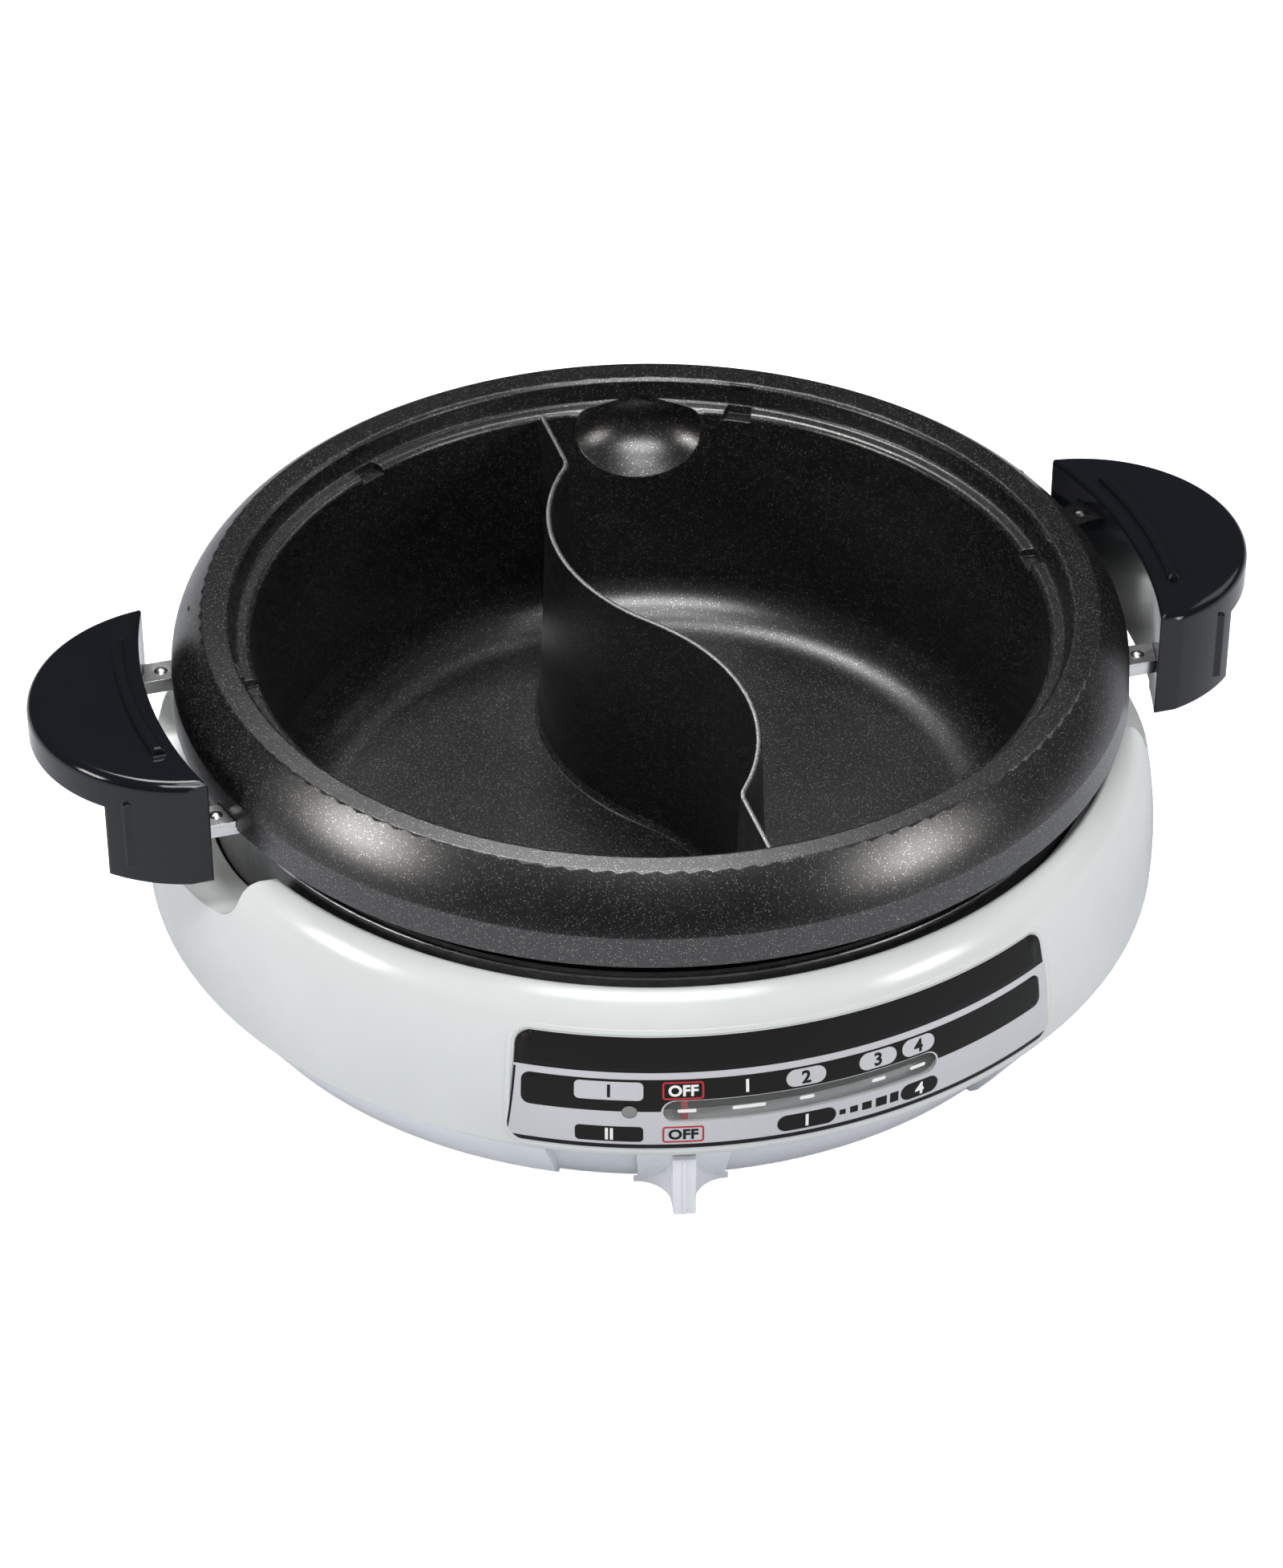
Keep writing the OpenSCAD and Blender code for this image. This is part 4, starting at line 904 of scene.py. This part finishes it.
class HOTPOT_OT_marks(bpy.types.Operator):
    """Print the bands, scales and numerals on the panel"""

    bl_idname = "hotpot.marks"
    bl_label = "Panel print"
    bl_options = {"REGISTER", "UNDO"}

    # In millimetres: the foot, top and corner of a pill in each row, and other heights.
    UPPER = (61.9, 69.0, 3.5)
    LOWER = (42.6, 49.8, 3.5)
    SQUARES = 46.2
    TOP_BAND = 72.6
    FOOT_LINE = (0.7, 2.5)  # over the panel's foot
    SIDE_LINE_TOP = 71.5
    MARGIN = 0.3
    DASHES = (55.4, 56.8, 0.6)
    SIDE_LINE = (0.0007, 0.0081)  # a point of its inner edge, in from the panel's low corner
    OFF_FRAME = (-15.4, -11.0)  # its ends in degrees
    OFF_SIZE = 0.86
    RIM = 0.0007
    SUNK = 0.0006  # how far the window lies behind the panel's face
    DEEPER = 20  # how much taller than its ink a cutter is

    def execute(self, context):
        self.face = CurvedFace("control_panel")
        self.ink = sizes().ink
        self.bands()
        self.pills()
        self.letters()
        self.window_scale()
        return {"FINISHED"}

    def layer(self, level):
        """Thickness and underside of the ink at a level."""
        if level == ON_FILM:
            return 2 * self.ink, -self.ink
        return self.ink, level * self.ink

    def plate(self, left, right, low, high, corner, level=ON_FILM, rim=0.0):
        """A printed shape between two angles in degrees and two heights in millimetres."""
        x0, x1 = self.face.along(left), self.face.along(right)
        return rounded_plate(
            (x0 + x1) / 2, (low + high) / 2 * MM, x1 - x0, (high - low) * MM, corner * MM,
            *self.layer(level), rim,
        )

    def printed(self, name, parts, material, slot="panel_silver", ready=()):
        """Flat shapes laid on the panel, with those that already lie on it, as one piece."""
        whole = gathered([self.face.wrap(bm) for bm in parts] + list(ready))
        new_piece(name, whole, material, "base", slot, crease=60.0)

    def skin(self, low, high, sides=()):
        """The panel's own face between two heights, as a film of ink over it."""
        bm = bmesh.new()
        bm.from_mesh(frame["nodes"]["control_panel"].data)
        bmesh.ops.remove_doubles(bm, verts=bm.verts, dist=WELD)
        bm.normal_update()
        # All goes but the face that looks outwards.
        hidden = [
            f for f in bm.faces
            if f.normal.dot(Vector((*f.calc_center_median().xy, 0)).normalized()) < 0.7
        ]
        bmesh.ops.delete(bm, geom=hidden, context="FACES")
        cuts = [((0, 0, low * MM), (0, 0, -1)), ((0, 0, high * MM), (0, 0, 1)), *sides]
        for place_at, away in cuts:
            bmesh.ops.bisect_plane(
                bm, geom=everything(bm), dist=TINY, plane_co=place_at, plane_no=away,
                clear_outer=True,
            )
        bm.normal_update()
        lifts = {v: v.normal.copy() for v in bm.verts}
        for v in raised(bm):
            v.co += v.normal * self.ink
        for v, lift in lifts.items():
            if v.is_valid:
                v.co -= lift * self.ink
        bmesh.ops.recalc_face_normals(bm, faces=bm.faces)
        return bm

    def bands(self):
        """The black bands, less the slot and the lamp, and the lines at the foot and the side."""
        band = self.plate(-30.4, 30.3, 56.4, 69.8, 3.4)
        slot, lamp = (-15.55, 15.55, 50.9, 61.1, 5.1), (-19.7, -18.0, 53.15, 58.85, 2.85)
        for opening in (slot, lamp):
            cutter = self.plate(*opening)
            for v in cutter.verts:
                v.co.z *= self.DEEPER
            band = cut_out(band, cutter)
        low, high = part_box("control_panel")
        foot, upper = (low.z / MM + height for height in self.FOOT_LINE)
        edge = (low.x + self.SIDE_LINE[0], 0, low.z + self.SIDE_LINE[1])
        films = [
            self.skin(self.TOP_BAND, high.z / MM - self.MARGIN),
            self.skin(foot, upper),
            self.skin(upper, self.SIDE_LINE_TOP, sides=[(edge, (1, 0, -EDGE_LEAN))]),
        ]
        self.printed("print_bands", [band], "ink black", ready=films)

    def pills(self):
        silver = [self.plate(-24.7, -17.4, 61.2, 68.8, 1.9, ON_BAND)]
        for ends in ((-2.2, 2.2), (6.0, 10.4), (11.1, 15.1)):
            silver.append(self.plate(*ends, *self.UPPER, ON_BAND))
        self.printed("print_silver_pills", silver, "ink silver")
        dark = [self.plate(-24.6, -17.4, 42.7, 49.6, 1.7)]
        for ends in ((-3.2, 3.3), (10.9, 15.5)):
            dark.append(self.plate(*ends, *self.LOWER))
        for left, right, half in (
            (3.7, 4.4, 1.1), (4.9, 5.8, 1.4), (6.3, 7.4, 1.7), (7.9, 9.2, 2.0), (9.6, 10.6, 2.2)
        ):
            dark.append(self.plate(left, right, self.SQUARES - half, self.SQUARES + half, 0.1))
        self.printed("print_dark_pills", dark, "ink black")
        frames = [
            self.plate(*self.OFF_FRAME, 61.5, 68.9, 1.3, ON_BAND, rim=self.RIM),
            self.plate(*self.OFF_FRAME, 42.3, 49.7, 1.3, ON_FILM, rim=self.RIM),
        ]
        self.printed("print_off_frames", frames, "ink red")

    def word(self, text, degrees, z, level, scale=1.0):
        size = sizes().letter * scale
        return lettering(text, self.face.along(degrees), z * MM, size, *self.layer(level))

    def letters(self):
        dark = (
            ("I", -21.05, 65.0, ON_PILL),
            ("2", 0.0, 65.4, ON_PILL),
            ("3", 8.2, 65.4, ON_PILL),
            ("4", 13.1, 65.4, ON_PILL),
            ("OFF", -13.2, 46.0, ON_FILM, self.OFF_SIZE),
        )
        pale = (
            ("OFF", -13.2, 65.2, ON_BAND, self.OFF_SIZE),
            ("1", -6.4, 65.4, ON_BAND),
            ("II", -21.0, 46.1, ON_BAND),
            ("1", 0.05, 46.2, ON_BAND),
            ("4", 13.2, 46.2, ON_BAND),
        )
        self.printed("print_dark_letters", [self.word(*w) for w in dark], "ink black")
        self.printed("print_pale_letters", [self.word(*w) for w in pale], "ink white")

    def window_scale(self):
        """Dark wall behind the pointer, a painted shade for the shadow inside the slot; a pale
        ledge before it, and the dashes on the window.
        """
        ends = ((-13.8, -11.8), (-8.0, -4.4), (-0.7, 0.9), (7.5, 9.1), (12.1, 14.0))
        dashes = [self.plate(*pair, *self.DASHES) for pair in ends]
        for bm in dashes:
            bmesh.ops.translate(bm, vec=(0, 0, -self.SUNK), verts=bm.verts)
        self.printed("window_dashes", dashes, "ink white")
        # Outlines of radius and height: a thin wall with a roof, dark as painted shade for the
        # shadow in the slot, and a ledge before it.
        back, wall, front = 187.0, 187.6, 191.9
        foot, roof, top = 43.0, 61.9, 62.5
        dark = [(back, foot), (wall, foot), (wall, roof), (front, roof), (front, top), (back, top)]
        turned("window_back_shade", dark, "recess", "base", "housing_white", half=17.0, steps=24)
        back, round_from, front = 187.4, 187.8, 188.1
        foot, shoulder, top = 44.0, 50.3, 50.9
        pale = [(back, foot), (front, foot), (front, shoulder), (round_from, top), (back, top)]
        turned("window_ledge", pale, "cover", "base", "housing_white", half=16.4, steps=24)


class HOTPOT_OT_lever(bpy.types.Operator):
    """Finish the lever and what turns with it"""

    bl_idname = "hotpot.lever"
    bl_label = "Heat lever"
    bl_options = {"REGISTER", "UNDO"}

    def execute(self, context):
        dress({"control_lever": "lever", "pointer_flag": "pointer"})
        dress({"lever_arm": "steel", "thermostat_shaft": "brass"})
        return {"FINISHED"}


class HOTPOT_OT_heating(bpy.types.Operator):
    """Finish the heater, its guard and the sensor"""

    bl_idname = "hotpot.heating"
    bl_label = "Heater and sensor"
    bl_options = {"REGISTER", "UNDO"}

    def execute(self, context):
        dress({
            "heat_guard": "guard",
            "reflector_plate": "reflector",
            "heater_element": "sheath",
            "heater_clips": "steel",
            "pan_rests": "steel",
            "thermostat_body": "ceramic",
            "sensor_sleeve": "bright steel",
            "sensor_cap": "reflector",
            "terminal_block": "ceramic",
        })
        spring = shell("sensor_spring", "spring", soft=60.0)
        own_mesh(spring)
        return {"FINISHED"}


class HOTPOT_OT_inlet(bpy.types.Operator):
    """Finish the power inlet"""

    bl_idname = "hotpot.inlet"
    bl_label = "Power inlet"
    bl_options = {"REGISTER", "UNDO"}

    def execute(self, context):
        dress({"power_inlet": "inlet", "inlet_pins": "pin"})
        return {"FINISHED"}


class HOTPOT_OT_stage(bpy.types.Operator):
    """Set the floor, the soft lights and the camera"""

    bl_idname = "hotpot.stage"
    bl_label = "Studio stage"
    bl_options = {"REGISTER", "UNDO"}

    FLOOR = 6.0
    ROOM = 0.045  # strength of the room's even light
    LIT = 0.08  # height that the lights face
    # The camera: degrees, metres, and its focal length in pixels of a picture this high.
    AZIMUTH, ELEVATION, DISTANCE = -16.6, 36.409, 1.8749
    AIM, LEFT, DOWN = 0.084, 0.00336, 0.02121
    FOCAL_PX, PICTURE_PX, SENSOR = 6055.4, 1955, 36

    def execute(self, context):
        self.floor()
        self.room()
        self.lights()
        self.camera()
        return {"FINISHED"}

    def floor(self):
        """Bright to the camera, dimmer to the pot, and clear from below and to the lights."""
        bm = bmesh.new()
        bmesh.ops.create_grid(bm, x_segments=4, y_segments=4, size=self.FLOOR)
        mesh = as_mesh("floor", bm)
        paint = bpy.data.materials.new("Pale floor")
        paint.use_nodes = True
        tree = paint.node_tree
        tree.nodes.clear()
        seen = node(
            tree, "ShaderNodeBsdfPrincipled",
            {"Base Color": (0.93, 0.93, 0.93, 1), "Roughness": 0.9, "Emission Color": (1, 1, 1, 1),
             "Emission Strength": 0.8},
        )
        bounce = node(tree, "ShaderNodeBsdfDiffuse", {"Color": (0.60, 0.615, 0.65, 1)})
        path = tree.nodes.new("ShaderNodeLightPath")
        mix = node(
            tree, "ShaderNodeMixShader",
            {0: path.outputs["Is Camera Ray"], 1: bounce.outputs[0], 2: seen.outputs[0]},
        )
        under = node(tree, "ShaderNodeNewGeometry").outputs["Backfacing"]
        below = maths(tree, "MAXIMUM", under, path.outputs["Is Shadow Ray"])
        clear = tree.nodes.new("ShaderNodeBsdfTransparent").outputs[0]
        one_sided = node(tree, "ShaderNodeMixShader", {0: below, 1: mix.outputs[0], 2: clear})
        out = tree.nodes.new("ShaderNodeOutputMaterial")
        tree.links.new(one_sided.outputs[0], out.inputs[0])
        mesh.materials.append(paint)
        added("floor", mesh)

    def room(self):
        world = bpy.data.worlds.new("Room")
        bpy.context.scene.world = world
        world.use_nodes = True
        tree = world.node_tree
        tree.nodes.clear()
        strength = bpy.context.scene.hot_pot_stage.room
        seen = node(tree, "ShaderNodeBackground", {"Color": (1, 1, 1, 1), "Strength": 1.0})
        light = node(
            tree, "ShaderNodeBackground",
            {"Color": (0.93, 0.96, 1, 1), "Strength": self.ROOM * strength},
        )
        path = tree.nodes.new("ShaderNodeLightPath")
        mix = node(
            tree, "ShaderNodeMixShader",
            {0: path.outputs["Is Camera Ray"], 1: light.outputs[0], 2: seen.outputs[0]},
        )
        out = tree.nodes.new("ShaderNodeOutputWorld")
        tree.links.new(mix.outputs[0], out.inputs[0])

    def softbox(self, name, az, elevation, distance, size, power, tint):
        """An area light in a direction from the pot, which it faces."""
        data = bpy.data.lights.new(name, "AREA")
        data.shape = "RECTANGLE"
        data.size, data.size_y = size
        data.energy = power
        data.color = tint
        lamp = added(name, data)
        a, e = math.radians(az), math.radians(elevation)
        target = Vector((0, 0, self.LIT))
        lamp.location = target + distance * Vector(
            (math.cos(a) * math.cos(e), math.sin(a) * math.cos(e), math.sin(e))
        )
        lamp.rotation_euler = (target - lamp.location).to_track_quat("-Z", "Y").to_euler()

    def lights(self):
        stage = bpy.context.scene.hot_pot_stage
        for name, az, elevation, distance, size, power, tint in (
            ("back_softbox", 92, 66, 2.0, (0.9, 0.6), 27 * stage.top, (1, 1, 1)),
            ("top_softbox", -107, 84, 2.0, (0.7, 0.5), 8 * stage.top, (1, 1, 1)),
            ("front_softbox", -107, 60, 2.0, (1.2, 0.5), 25 * stage.top, (0.98, 0.99, 1)),
            ("left_softbox", -173, 22, 1.8, (0.5, 0.42), 12 * stage.sides, (1, 0.985, 0.96)),
            ("right_softbox", -48, 21, 1.8, (0.5, 0.42), 9 * stage.sides, (1, 0.985, 0.96)),
            ("under_softbox", 0, -89, 1.6, (1.2, 1.2), 5 * stage.sides, (1, 1, 1)),
            ("side_fill", 8, 35, 1.9, (0.9, 0.9), 4 * stage.sides, (0.98, 0.99, 1)),
        ):
            self.softbox(name, az, elevation, distance, size, power, tint)

    def camera(self):
        azimuth, elevation = math.radians(self.AZIMUTH), math.radians(self.ELEVATION)
        right = Vector((math.cos(azimuth), math.sin(azimuth), 0))
        flat, fall = math.cos(elevation), math.sin(elevation)
        ahead = Vector((-math.sin(azimuth) * flat, math.cos(azimuth) * flat, -fall))
        up = right.cross(ahead)
        data = bpy.data.cameras.new("view")
        data.sensor_width = self.SENSOR
        data.lens = self.FOCAL_PX * self.SENSOR / self.PICTURE_PX
        data.clip_start, data.clip_end = 0.05, 50
        camera = added("view", data)
        aim = Vector((0, 0, self.AIM))
        place_at = aim - ahead * self.DISTANCE - right * self.LEFT - up * self.DOWN
        turn = Matrix((right, up, -ahead)).transposed().to_4x4()
        camera.matrix_world = Matrix.Translation(place_at) @ turn
        bpy.context.scene.camera = camera
        bpy.context.scene.view_settings.view_transform = "Standard"


OPERATORS = (
    HOTPOT_OT_pan,
    HOTPOT_OT_handles,
    HOTPOT_OT_brackets,
    HOTPOT_OT_base,
    HOTPOT_OT_panel,
    HOTPOT_OT_marks,
    HOTPOT_OT_lever,
    HOTPOT_OT_heating,
    HOTPOT_OT_inlet,
    HOTPOT_OT_stage,
)


class HOTPOT_PT_panel(bpy.types.Panel):
    """Lists the pot's pieces"""

    bl_label = "Hot pot"
    bl_idname = "HOTPOT_PT_panel"
    bl_space_type = "VIEW_3D"
    bl_region_type = "UI"
    bl_category = "Hot pot"

    def draw(self, context):
        for settings in (getattr(context.scene, key) for key in SETTINGS):
            box = self.layout.box()
            for key in settings.bl_rna.properties.keys():
                if key not in {"rna_type", "name"}:
                    box.prop(settings, key)
        for operator in OPERATORS:
            self.layout.operator(operator.bl_idname)


SETTINGS = {
    "hot_pot_sizes": HotPotSizes,
    "hot_pot_colours": HotPotColours,
    "hot_pot_stage": HotPotStage,
}
CLASSES = (*SETTINGS.values(), *OPERATORS, HOTPOT_PT_panel)


def register():
    for item in CLASSES:
        bpy.utils.register_class(item)
    for key, kind in SETTINGS.items():
        setattr(bpy.types.Scene, key, bpy.props.PointerProperty(type=kind))


def unregister():
    for key in reversed(SETTINGS):
        delattr(bpy.types.Scene, key)
    for item in reversed(CLASSES):
        bpy.utils.unregister_class(item)


def main():
    register()
    for operator in OPERATORS:
        group_name, verb = operator.bl_idname.split(".")
        getattr(getattr(bpy.ops, group_name), verb)()


if __name__ == "__main__":
    main()
